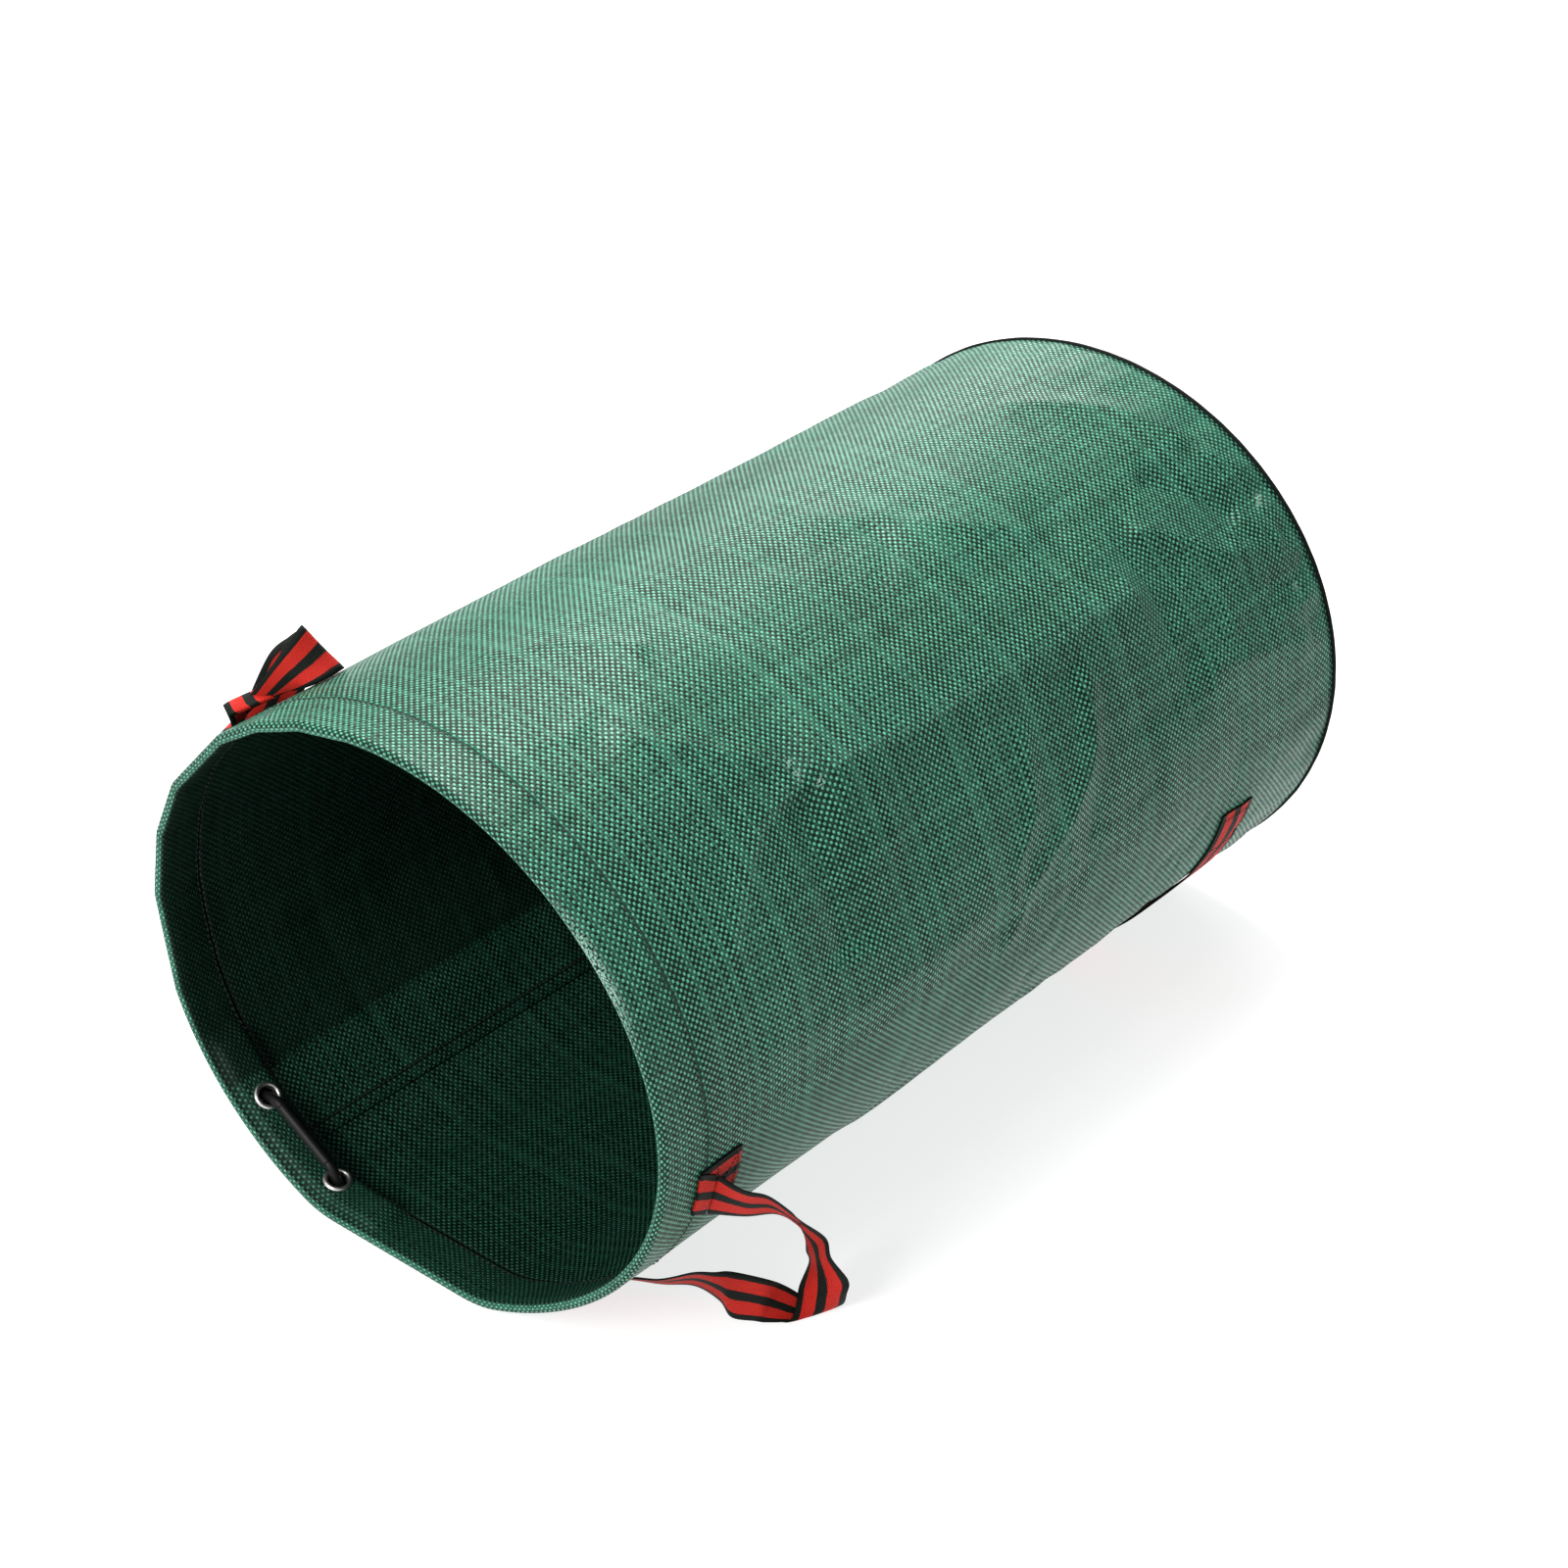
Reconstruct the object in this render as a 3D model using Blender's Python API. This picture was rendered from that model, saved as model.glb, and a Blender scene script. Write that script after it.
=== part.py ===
"""Garden waste bag: a round bag of woven tape fabric with a hooped mouth and three webbing handles.

Metres, +Z up. The bag lies on its side along Y, its mouth at the low end and its base at the high end.
The origin is on the floor under the middle of the bag, in the flat of its underside. Places on the bag
are given round it as an angle (0 at +X, 90 degrees at the top), along it as a depth from the rim of
the mouth, and through it as an inset from the outer face of the fabric.
"""

import math

import bmesh
import bpy
import numpy as np

# Bag
LENGTH = 0.76
MOUTH_HALF_WIDTH = 0.2385
MOUTH_HALF_HEIGHT = 0.2135
MOUTH_CENTRE = 0.195
BASE_HALF_WIDTH = 0.234
BASE_HALF_HEIGHT = 0.2175
BASE_CENTRE = 0.2115
CLOTH = 0.001
GAP = 0.0003
STEPS_ROUND = 72
SIDE_ROWS = 9
SHARP = 40

# The lower right of the mouth is drawn in, where the handle pulls on it
DRAWN_IN = 0.06
DRAWN_ANGLE = -57
DRAWN_SPREAD = 40
DRAWN_LEFT_AT_BASE = 0.3

# Hoop, of black plastic tube, and its joining sleeve
HOOP_RADIUS = 0.0025
HOOP_DEPTH = 0.0041
HOOP_SIDES = 8
HOOP_STEP = 5
HOOP_FINE = 34
HOOP_FINE_STEPS = 24
SLEEVE_RADIUS = 0.0040
SLEEVE_LENGTH = 0.057
SLEEVE_ROWS = 7
SLEEVE_SIDES = 16
HOOP_END_GAP = 0.001

# Mouth hem: the fabric turned in over the hoop and stitched
HEM_DEPTH = 0.040
HEM_FLAT_START = 0.0095
HEM_FLAT_END = 0.0350
HEM_BACK = 0.0040
HEM_END = 0.0027
POCKET_INSET = 0.0126
POCKET_FULL = 0.042
POCKET_START = 0.065

# Eyelets, either side of the side seam, where the hoop leaves the hem
SEAM_ANGLE = -125.5
EYELET_TURN = 10.5
EYELET_DEPTH = 0.022
EYELET_HOLE = 0.0070
EYELET_BARREL = 0.0076
EYELET_RADIUS = 0.0105
HEM_HOLE = 0.0082
PUNCH = 0.003
SEAT_POINTS = 9
FLANGE_THICK = 0.0012
FLANGE_EDGE = 0.0005
FLANGE_SLOPE = 0.0011
FLANGE_LIP = 0.0008
FLANGE_ROUNDING = 0.0006
WASHER_THICK = 0.0005
CHORD = 0.0005
RAMP_HALF = 0.0125
CROSSING_INSET = 0.0200
DRIFT_START = 0.055

# Side seam: the panel's edges lap inside the bag
FLAP_WIDTH = 0.062
FLAP_START = 0.0405
FLAP_END = 0.745
FLAP_PAST_SEAM = 1
FLAP_GRID = (10, 8)

# Base
BINDING_RADIUS = 0.002
BINDING_SIDES = 8
BINDING_FROM_END = 0.0007
BASE_INSET = 0.0046
BASE_THICKNESS = 0.002

# Handles, of striped webbing
WEBBING = 0.038
WEBBING_THICK = 0.0015
TAB_START = 0.034
TAB_END = 0.072
LIP = 0.013
LOOP_GAP = 0.001
LOOP_LIFT = 0.0011
FOLD = (-40, 0, 40)
TAB_COLUMNS = 6
RIGHT_ENDS = (-9.5, -60)
LEFT_ENDS = (147, 181)
BASE_HANDLE_DEPTH = 0.640
BASE_TAB_UPPER = (-12, -24)
BASE_TAB_LOWER = (-67, -75)
BASE_TAB_GRID = (5, 3)
SEWN_GAP = 0.4
BASE_STRAP = [
    (-30.0, 0.641, 0.0016),
    (-35.5, 0.637, 0.0020),
    (-41.0, 0.626, 0.0026),
    (-46.5, 0.610, 0.0042),
    (-52.0, 0.598, 0.0065),
    (-57.5, 0.598, 0.0105),
    (-62.5, 0.616, 0.0115),
]

GREEN = (0.055, 0.18, 0.125)
DARK_GREEN = (0.035, 0.12, 0.08)
BLACK = (0.012, 0.012, 0.012)
RED = (0.52, 0.035, 0.03)
SILVER = (0.75, 0.75, 0.73)


def rad(degrees):
    return np.radians(np.asarray(degrees, float))


def smooth(share):
    """0 to 1 with a level start and end."""
    share = np.clip(share, 0, 1)
    return share * share * (3 - 2 * share)


def sizes(depth):
    """Half width, half height and height of the middle of the bag's section at a depth."""
    share = np.clip(depth / LENGTH, 0, 1)
    return (
        MOUTH_HALF_WIDTH + (BASE_HALF_WIDTH - MOUTH_HALF_WIDTH) * share,
        MOUTH_HALF_HEIGHT + (BASE_HALF_HEIGHT - MOUTH_HALF_HEIGHT) * share,
        MOUTH_CENTRE + (BASE_CENTRE - MOUTH_CENTRE) * share,
    )


def wall(angle, depth, inset=0.0):
    """Points of the bag at angles in degrees: an ellipse, drawn in at one corner and flat on the floor."""
    angle, depth, inset = np.broadcast_arrays(*(np.asarray(v, float) for v in (angle, depth, inset)))
    half_width, half_height, centre = sizes(depth)
    away = (angle - DRAWN_ANGLE + 180) % 360 - 180
    fade = 1 + (DRAWN_LEFT_AT_BASE - 1) * np.clip(depth / LENGTH, 0, 1)
    drawn = 1 - DRAWN_IN * fade * np.exp(-((away / DRAWN_SPREAD) ** 2))
    x = half_width * drawn * np.cos(rad(angle))
    z = half_height * drawn * np.sin(rad(angle))
    nx, nz = x / half_width**2, z / half_height**2
    size = np.hypot(nx, nz)
    z = centre + z - inset * nz / size
    return np.stack([x - inset * nx / size, depth - LENGTH / 2, np.maximum(z, inset)], -1)


def degrees_for(length, depth=EYELET_DEPTH):
    """The angle that a length along the wall takes up."""
    half_width, half_height, _ = sizes(depth)
    return np.degrees(length / math.sqrt(half_width * half_height))


def material(name, colour, roughness=0.6, metallic=0.0):
    found = bpy.data.materials.get(name) or bpy.data.materials.new(name)
    found.use_nodes = True
    shader = found.node_tree.nodes["Principled BSDF"]
    shader.inputs["Base Color"].default_value = (*colour, 1)
    shader.inputs["Roughness"].default_value = roughness
    shader.inputs["Metallic"].default_value = metallic
    return found


def add(name, points, faces, finish, parent=None):
    """A named object whose mesh is given in world space, with its normals facing out."""
    mesh = bpy.data.meshes.new(name)
    mesh.from_pydata([tuple(map(float, p)) for p in points], [], faces)
    work = bmesh.new()
    work.from_mesh(mesh)
    bmesh.ops.recalc_face_normals(work, faces=work.faces)
    work.to_mesh(mesh)
    work.free()
    mesh.shade_smooth()
    mesh.set_sharp_from_angle(angle=math.radians(SHARP))
    mesh.materials.append(finish)
    made = bpy.data.objects.new(name, mesh)
    bpy.context.collection.objects.link(made)
    if parent:
        made.parent = parent
        made.matrix_parent_inverse = parent.matrix_world.inverted()
    return made


def grid(rows, closed_rows=False, closed_columns=False, caps=False):
    """Points and faces of a grid of points, joined end to end along its rows or columns where closed."""
    rows = np.asarray(rows, float)
    n, m = rows.shape[:2]
    faces = [
        (i * m + j, i * m + (j + 1) % m, (i + 1) % n * m + (j + 1) % m, (i + 1) % n * m + j)
        for i in range(n if closed_rows else n - 1)
        for j in range(m if closed_columns else m - 1)
    ]
    if caps:
        faces += [tuple(range(m)), tuple((n - 1) * m + j for j in range(m))]
    return rows.reshape(-1, 3), faces


def ring(profile, angles=None):
    """A closed profile, given as depth and inset for each angle, carried all round the bag."""
    if angles is None:
        angles = np.arange(STEPS_ROUND) * 360 / STEPS_ROUND
    return grid([wall(a, *np.transpose(profile(a))) for a in angles], True, True)


def tube(path, radius, sides):
    """A round tube along a path of points."""
    path = np.asarray(path, float)
    ahead = np.gradient(path, axis=0)
    ahead /= np.linalg.norm(ahead, axis=1, keepdims=True)
    across = np.cross(ahead, (0, 1, 0))
    across /= np.linalg.norm(across, axis=1, keepdims=True)
    up = np.cross(across, ahead)
    turn = rad(np.arange(sides) * 360 / sides)[None, :, None]
    rows = path[:, None] + radius * (across[:, None] * np.cos(turn) + up[:, None] * np.sin(turn))
    return grid(rows, False, True, caps=True)


def patch(angles, depths, inner, outer):
    """A sheet lying on the wall between two insets, over a range of angles and depths."""
    round_, along = np.meshgrid(np.linspace(*angles), np.linspace(*depths), indexing="ij")
    rows = []
    for a, d in zip(round_, along):
        top, under = wall(a, d, outer), wall(a, d, inner)
        rows.append(np.concatenate([top, under[::-1]]))
    return grid(rows, False, True, caps=True)


def curve(points, per_step):
    """A smooth curve through points, by cubic steps whose slope at a point is that of its neighbours."""
    points = np.asarray(points, float)
    slopes = np.gradient(points, axis=0)
    t = np.linspace(0, 1, per_step, endpoint=False)[:, None]
    runs = [
        (2 * t**3 - 3 * t**2 + 1) * a + (t**3 - 2 * t**2 + t) * u
        + (3 * t**2 - 2 * t**3) * b + (t**3 - t**2) * v
        for a, b, u, v in zip(points[:-1], points[1:], slopes[:-1], slopes[1:])
    ]
    return np.concatenate([*runs, points[-1:]])


def ribbon(edges, per_step=4):
    """A strip of webbing whose two edges follow smooth curves, given as pairs of points."""
    edges = np.asarray(edges, float)
    left, right = curve(edges[:, 0], per_step), curve(edges[:, 1], per_step)
    face = np.cross(right - left, np.gradient(left + right, axis=0))
    face *= WEBBING_THICK / 2 / np.linalg.norm(face, axis=1, keepdims=True)
    rows = np.stack([left + face, right + face, right - face, left - face], 1)
    return grid(rows, False, True, caps=True)


def on_wall(angle, depth, outset):
    """A point of the wall in x, depth and z, as the strap routes are given."""
    x, y, z = np.moveaxis(wall(angle, depth, -outset), -1, 0)
    return x, y + LENGTH / 2, z


def pair_on_wall(angle, depth, outset):
    """The webbing's two edges where it crosses the bag's wall along its length."""
    half = degrees_for(WEBBING / 2)
    return on_wall(angle + half, depth, outset), on_wall(angle - half, depth, outset)


def route(pairs):
    """Pairs of edge points in x, depth and z, turned into world space."""
    pairs = np.asarray(pairs, float)
    pairs[..., 1] -= LENGTH / 2
    return pairs


def pocket(angle):
    """How far the hem is opened to its pocket at an angle, 0 to 1, near the eyelets."""
    turn = abs((angle - SEAM_ANGLE + 180) % 360 - 180) - EYELET_TURN
    return 1 - smooth((turn - degrees_for(POCKET_FULL)) / degrees_for(POCKET_START - POCKET_FULL))


def hem_profile(angle):
    """The turned-in hem: outer layer, rim folded round the hoop, and inner layer down to the stitches."""
    thick = 2 * CLOTH + 2 * HOOP_RADIUS + 2 * GAP
    radius = thick / 2
    opened = pocket(angle)
    near = thick + (POCKET_INSET - thick) * opened
    far = HEM_BACK + (POCKET_INSET - HEM_BACK) * opened
    folds = rad([-45, 0, 45])
    rim = [(radius - radius * math.cos(f), radius + radius * math.sin(f)) for f in folds]
    inner = radius - CLOTH
    lining = [(radius - inner * math.cos(f), radius + inner * math.sin(f)) for f in folds[::-1]]
    return [
        (HEM_DEPTH, 0),
        (radius, 0),
        *rim,
        (radius, thick),
        (HEM_FLAT_START, near),
        (HEM_FLAT_END, far),
        (HEM_DEPTH, HEM_END),
        (HEM_DEPTH, HEM_END - CLOTH),
        (HEM_FLAT_END, far - CLOTH),
        (HEM_FLAT_START, near - CLOTH),
        (radius, thick - CLOTH),
        *lining,
        (radius, CLOTH),
        (HEM_DEPTH, CLOTH),
    ]


def hoop_point(angle):
    """A point of the hoop at an angle: in the rim, or coming out of an eyelet, or straight across."""
    away = abs((angle - SEAM_ANGLE + 180) % 360 - 180)
    along = (EYELET_TURN - away) / degrees_for(1.0)
    in_rim = CLOTH + GAP + HOOP_RADIUS
    risen = (1 - math.cos(math.pi * np.clip((along / RAMP_HALF + 1) / 2, 0, 1))) / 2
    inset = in_rim + (CROSSING_INSET - in_rim) * risen
    straight_from = EYELET_TURN - RAMP_HALF * degrees_for(1.0)
    if away < straight_from:
        inset += MOUTH_HALF_HEIGHT * (math.cos(rad(away)) - math.cos(rad(straight_from)))
    depth = HOOP_DEPTH + (EYELET_DEPTH - HOOP_DEPTH) * smooth((along + DRIFT_START) / (DRIFT_START - RAMP_HALF))
    return wall(angle, depth, inset)


def make_panels(green, dark_green, black):
    """The fabric tube, its lapped seam, the base and the binding round the base."""
    end = LENGTH - 2 * BINDING_RADIUS - BINDING_FROM_END - GAP
    depths = np.linspace(HEM_DEPTH + GAP, end, SIDE_ROWS)
    section = [(d, 0) for d in depths] + [(d, CLOTH) for d in depths[::-1]]
    add("side_panel", *ring(lambda a: section), green)
    edge = SEAM_ANGLE + FLAP_PAST_SEAM
    angles = (edge - degrees_for(FLAP_WIDTH), edge, FLAP_GRID[0])
    lapped = patch(angles, (FLAP_START, FLAP_END, FLAP_GRID[1]), 2 * CLOTH + 2 * GAP, CLOTH + 2 * GAP)
    add("side_seam_flap", *lapped, dark_green)
    middle = LENGTH - BINDING_RADIUS - BINDING_FROM_END
    turns = rad((np.arange(BINDING_SIDES) + 0.5) * 360 / BINDING_SIDES)
    cord = [(middle + BINDING_RADIUS * math.cos(t), BINDING_RADIUS * (1 + math.sin(t))) for t in turns]
    add("base_binding", *ring(lambda a: cord), black)
    angles = np.arange(STEPS_ROUND) * 360 / STEPS_ROUND
    faces = [wall(angles, LENGTH - t, BASE_INSET) for t in (BASE_THICKNESS, 0)]
    add("base_panel", *grid(faces, False, True, caps=True), green)


def eyelet_seat(angle):
    """Where an eyelet sits on the hem's inner layer: its middle, its way in, and the layer's two faces."""
    near = angle + np.linspace(-1, 1, SEAT_POINTS) * degrees_for(EYELET_RADIUS)
    face = wall(near, EYELET_DEPTH, POCKET_INSET)
    back = wall(near, EYELET_DEPTH, POCKET_INSET - CLOTH)
    seat = (face[0] + face[-1]) / 2
    round_ = face[-1] - face[0]
    round_ /= np.linalg.norm(round_)
    inward = np.cross(round_, (0, 1, 0))
    return seat, round_, inward, ((face - seat) @ inward).max(), ((back - seat) @ inward).min()


def turned(seat, round_, inward, profile, steps=24):
    """A closed profile of radius and height above the seat, turned about the eyelet's middle."""
    turns = rad(np.arange(steps) * 360 / steps)
    spokes = [round_ * math.cos(t) + np.array([0, 1, 0]) * math.sin(t) for t in turns]
    return [[seat + spoke * r + inward * h for r, h in profile] for spoke in spokes]


def make_eyelet(name, angle, hem, silver):
    """A metal eyelet through the hem's inner layer, its washer behind, and the hole for it."""
    seat, round_, inward, face, back = eyelet_seat(angle)
    place = (seat, round_, inward)
    punch = np.array(turned(*place, [(HEM_HOLE, back - PUNCH), (HEM_HOLE, face + PUNCH)]))
    cutter = add(f"{name}_hole", *grid(punch.transpose(1, 0, 2), False, True, caps=True), silver)
    cutter.hide_render = True
    cutter.display_type = "WIRE"
    cut = hem.modifiers.new(name, "BOOLEAN")
    cut.object = cutter
    cut.operation = "DIFFERENCE"
    under = face + CHORD + GAP
    tail = back - CHORD - GAP - WASHER_THICK
    top = under + FLANGE_THICK
    shell = [
        (EYELET_HOLE, tail),
        (EYELET_BARREL, tail),
        (EYELET_BARREL, under),
        (EYELET_RADIUS, under),
        (EYELET_RADIUS, under + FLANGE_EDGE),
        (EYELET_RADIUS - FLANGE_SLOPE, top),
        (EYELET_HOLE + FLANGE_LIP, top),
        (EYELET_HOLE, top - FLANGE_ROUNDING),
    ]
    add(f"{name}_eyelet", *grid(turned(*place, shell), True, True), silver)
    inner = EYELET_BARREL + GAP
    washer = [(inner, tail), (EYELET_RADIUS, tail)]
    washer += [(r, tail + WASHER_THICK) for r, _ in washer[::-1]]
    add(f"{name}_eyelet_washer", *grid(turned(*place, washer), True, True), silver)


def make_mouth(green, black, silver):
    """The hem with its eyelets, the hoop in it, and the sleeve that joins the hoop's ends."""
    turns = np.arange(STEPS_ROUND) * 360 / STEPS_ROUND
    between = turns + 180 / STEPS_ROUND
    near = between[[pocket(t) > 0 for t in between]]
    hem = add("mouth_hem", *ring(hem_profile, np.sort(np.concatenate([turns, near]))), green)
    make_eyelet("upper", SEAM_ANGLE - EYELET_TURN, hem, silver)
    make_eyelet("lower", SEAM_ANGLE + EYELET_TURN, hem, silver)
    start, end = SEAM_ANGLE, SEAM_ANGLE + 360
    half_gap = degrees_for(HOOP_END_GAP / 2)
    in_hem = turns[(turns > HOOP_FINE) & (turns < 360 - HOOP_FINE)]
    in_hem = in_hem + HOOP_STEP * round(SEAM_ANGLE / HOOP_STEP)
    angles = np.concatenate([
        np.linspace(start + half_gap, in_hem[0], HOOP_FINE_STEPS, endpoint=False),
        in_hem,
        np.linspace(end - half_gap, in_hem[-1], HOOP_FINE_STEPS, endpoint=False)[::-1],
    ])
    add("mouth_hoop", *tube([hoop_point(a) for a in angles], HOOP_RADIUS, HOOP_SIDES), black)
    reach = degrees_for(SLEEVE_LENGTH / 2)
    line = [hoop_point(a) for a in np.linspace(start - reach, start + reach, SLEEVE_ROWS)]
    outer, _ = tube(line, SLEEVE_RADIUS, SLEEVE_SIDES)
    inner, _ = tube(line, HOOP_RADIUS + GAP, SLEEVE_SIDES)
    rows = (SLEEVE_ROWS, SLEEVE_SIDES, 3)
    shell = np.concatenate([outer.reshape(rows), inner.reshape(rows)[::-1]])
    add("hoop_sleeve", *grid(shell, True, True), black)


def swing_axis(name, ends, depth, outset):
    """An empty on the line through a handle's two sewn ends, which the handle swings about."""
    first, last = (wall(a, depth, -outset) for a in ends)
    axis = bpy.data.objects.new(name, None)
    axis.location = (first + last) / 2
    bpy.context.collection.objects.link(axis)
    bpy.context.view_layer.update()
    return axis


def folded_tab(angle, slant):
    """A sewn end whose webbing is folded back over itself at the edge of the hem, a little askew."""
    low, high = GAP, GAP + WEBBING_THICK
    back = high + GAP
    top = back + WEBBING_THICK
    bend = (low + top) / 2
    tip = TAB_START + LIP
    turn = degrees_for(LIP * slant)
    section = [(TAB_END, low, 0), (TAB_START, low, 0)]
    section += [
        (TAB_START - bend * math.cos(t), bend + (bend - low) * math.sin(t), 0)
        for t in rad(FOLD)
    ]
    section += [(TAB_START, top, 0), (tip, top, turn), (tip, back, turn), (TAB_START, back, 0)]
    section += [(TAB_START, high, 0), (TAB_END, high, 0)]
    depths, outsets, turns = np.transpose(section)
    half = degrees_for(WEBBING / 2)
    rows = [wall(a + turns, depths, -outsets) for a in np.linspace(angle - half, angle + half, TAB_COLUMNS)]
    return grid(rows, False, True, caps=True)


def make_mouth_handle(side, ends, slants, stations, red):
    """Two sewn ends of webbing and the free loop between them, whose edges pass through the stations."""
    pairs = []
    for end, angle, slant in zip("ab", ends, slants):
        add(f"{side}_handle_end_{end}", *folded_tab(angle, slant), red)
        start = angle + degrees_for(LIP * slant)
        lying = 2 * GAP + 1.5 * WEBBING_THICK + LOOP_LIFT
        pairs.append(pair_on_wall(start, TAB_START + LIP + LOOP_GAP, lying))
    axis = swing_axis(f"{side}_handle_axis", ends, TAB_START, WEBBING_THICK + GAP)
    first, last = pairs
    if side == "left":
        first = first[::-1]
    add(f"{side}_handle_loop", *ribbon(route([first, *stations, last])), red, axis)


def make_right_handle(red):
    """The right handle lies folded back from the hem, out over the floor, and in under the mouth."""
    stations = [
        ((0.250, 0.057, 0.159), (0.240, 0.070, 0.126)),
        ((0.255, 0.074, 0.147), (0.245, 0.094, 0.116)),
        ((0.258, 0.092, 0.126), (0.246, 0.113, 0.097)),
        ((0.249, 0.115, 0.099), (0.235, 0.134, 0.068)),
        ((0.248, 0.140, 0.070), (0.223, 0.150, 0.041)),
        ((0.251, 0.142, 0.054), (0.224, 0.152, 0.031)),
        ((0.258, 0.151, 0.034), (0.224, 0.142, 0.017)),
        ((0.256, 0.153, 0.021), (0.226, 0.137, 0.008)),
        ((0.246, 0.158, 0.002), (0.231, 0.125, 0.002)),
        ((0.231, 0.147, 0.005), (0.227, 0.119, 0.002)),
        ((0.219, 0.133, 0.020), (0.219, 0.112, 0.002)),
        ((0.219, 0.114, 0.037), (0.213, 0.109, 0.002)),
        ((0.198, 0.103, 0.039), (0.199, 0.102, 0.002)),
        ((0.189, 0.096, 0.038), (0.184, 0.107, 0.005)),
        ((0.178, 0.088, 0.037), (0.164, 0.105, 0.008)),
        ((0.162, 0.073, 0.032), (0.145, 0.093, 0.007)),
        ((0.147, 0.060, 0.033), (0.123, 0.076, 0.010)),
    ]
    make_mouth_handle("right", RIGHT_ENDS, (-0.7, 0.0), stations, red)


def make_left_handle(red):
    """The left handle is folded back too: it runs up beside the mouth, doubles over, and falls behind."""
    stations = [
        ((-0.196, 0.060, 0.332), (-0.216, 0.057, 0.299)),
        ((-0.205, 0.079, 0.334), (-0.223, 0.062, 0.303)),
        ((-0.207, 0.080, 0.341), (-0.220, 0.053, 0.316)),
        ((-0.190, 0.070, 0.350), (-0.205, 0.043, 0.326)),
        ((-0.167, 0.060, 0.367), (-0.186, 0.034, 0.349)),
        ((-0.146, 0.054, 0.387), (-0.167, 0.027, 0.370)),
        ((-0.135, 0.050, 0.385), (-0.156, 0.023, 0.368)),
        ((-0.138, 0.055, 0.373), (-0.163, 0.031, 0.361)),
        ((-0.137, 0.063, 0.377), (-0.153, 0.053, 0.389)),
        ((-0.133, 0.077, 0.377), (-0.150, 0.064, 0.401)),
        ((-0.131, 0.094, 0.379), (-0.148, 0.076, 0.411)),
        ((-0.139, 0.101, 0.374), (-0.157, 0.082, 0.403)),
        ((-0.159, 0.108, 0.364), (-0.175, 0.088, 0.389)),
        ((-0.189, 0.112, 0.338), (-0.203, 0.092, 0.364)),
        ((-0.216, 0.109, 0.294), (-0.224, 0.085, 0.321)),
        ((-0.239, 0.099, 0.248), (-0.243, 0.075, 0.277)),
        ((-0.248, 0.082, 0.208), (-0.252, 0.062, 0.240)),
    ]
    make_mouth_handle("left", LEFT_ENDS, (0.0, 0.0), stations, red)


def strap_along(stations):
    """The edges of webbing whose middle line lies along the wall through angles, depths and outsets."""
    angles, depths, outsets = np.transpose(stations)
    per_degree = 1 / degrees_for(1.0, BASE_HANDLE_DEPTH)
    ahead = np.stack([np.gradient(angles) * per_degree, np.gradient(depths)])
    ahead[1, [0, -1]] = 0
    ahead /= np.linalg.norm(ahead, axis=0)
    turn, rise = -ahead[1] * WEBBING / 2 / per_degree, ahead[0] * WEBBING / 2
    edges = [on_wall(angles + k * turn, depths + k * rise, outsets) for k in (1, -1)]
    return np.transpose(edges, (2, 0, 1))


def make_base_handle(red):
    """The base handle lies along the wall between two sewn ends, slack and slipped towards the mouth."""
    near, far = BASE_HANDLE_DEPTH - WEBBING / 2, BASE_HANDLE_DEPTH + WEBBING / 2
    columns, rows = BASE_TAB_GRID
    for end, angles in (("a", BASE_TAB_UPPER), ("b", BASE_TAB_LOWER)):
        points = patch((*angles, columns), (near, far, rows), -GAP, -GAP - WEBBING_THICK)
        add(f"base_handle_end_{end}", *points, red)
    rest = GAP + WEBBING_THICK / 2
    upper = (BASE_TAB_UPPER[1] - SEWN_GAP, BASE_HANDLE_DEPTH, rest)
    lower = (BASE_TAB_LOWER[0] + SEWN_GAP, BASE_HANDLE_DEPTH, rest)
    axis = swing_axis("base_handle_axis", (BASE_TAB_UPPER[1], BASE_TAB_LOWER[0]), BASE_HANDLE_DEPTH, rest)
    add("base_handle_loop", *ribbon(route(strap_along([upper, *BASE_STRAP, lower]))), red, axis)


def main():
    for item in list(bpy.data.objects):
        bpy.data.objects.remove(item)
    green = material("woven_green", GREEN, 0.45)
    dark_green = material("woven_dark_green", DARK_GREEN, 0.5)
    black = material("black_plastic", BLACK, 0.4)
    red = material("webbing", RED, 0.7)
    silver = material("eyelet_metal", SILVER, 0.25, 1.0)
    make_panels(green, dark_green, black)
    make_mouth(green, black, silver)
    make_right_handle(red)
    make_left_handle(red)
    make_base_handle(red)


main()
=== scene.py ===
"""A garden waste bag lying on a pale floor: woven tape cloth, a hooped mouth and striped webbing handles.

Everything is in metres, +Z up. Places on the bag are given round it as an angle (0 at +X, 90 degrees at the
top), along it as a depth from the rim of the mouth, and through it as an inset from the cloth's outer face.
"""

import math

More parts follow.
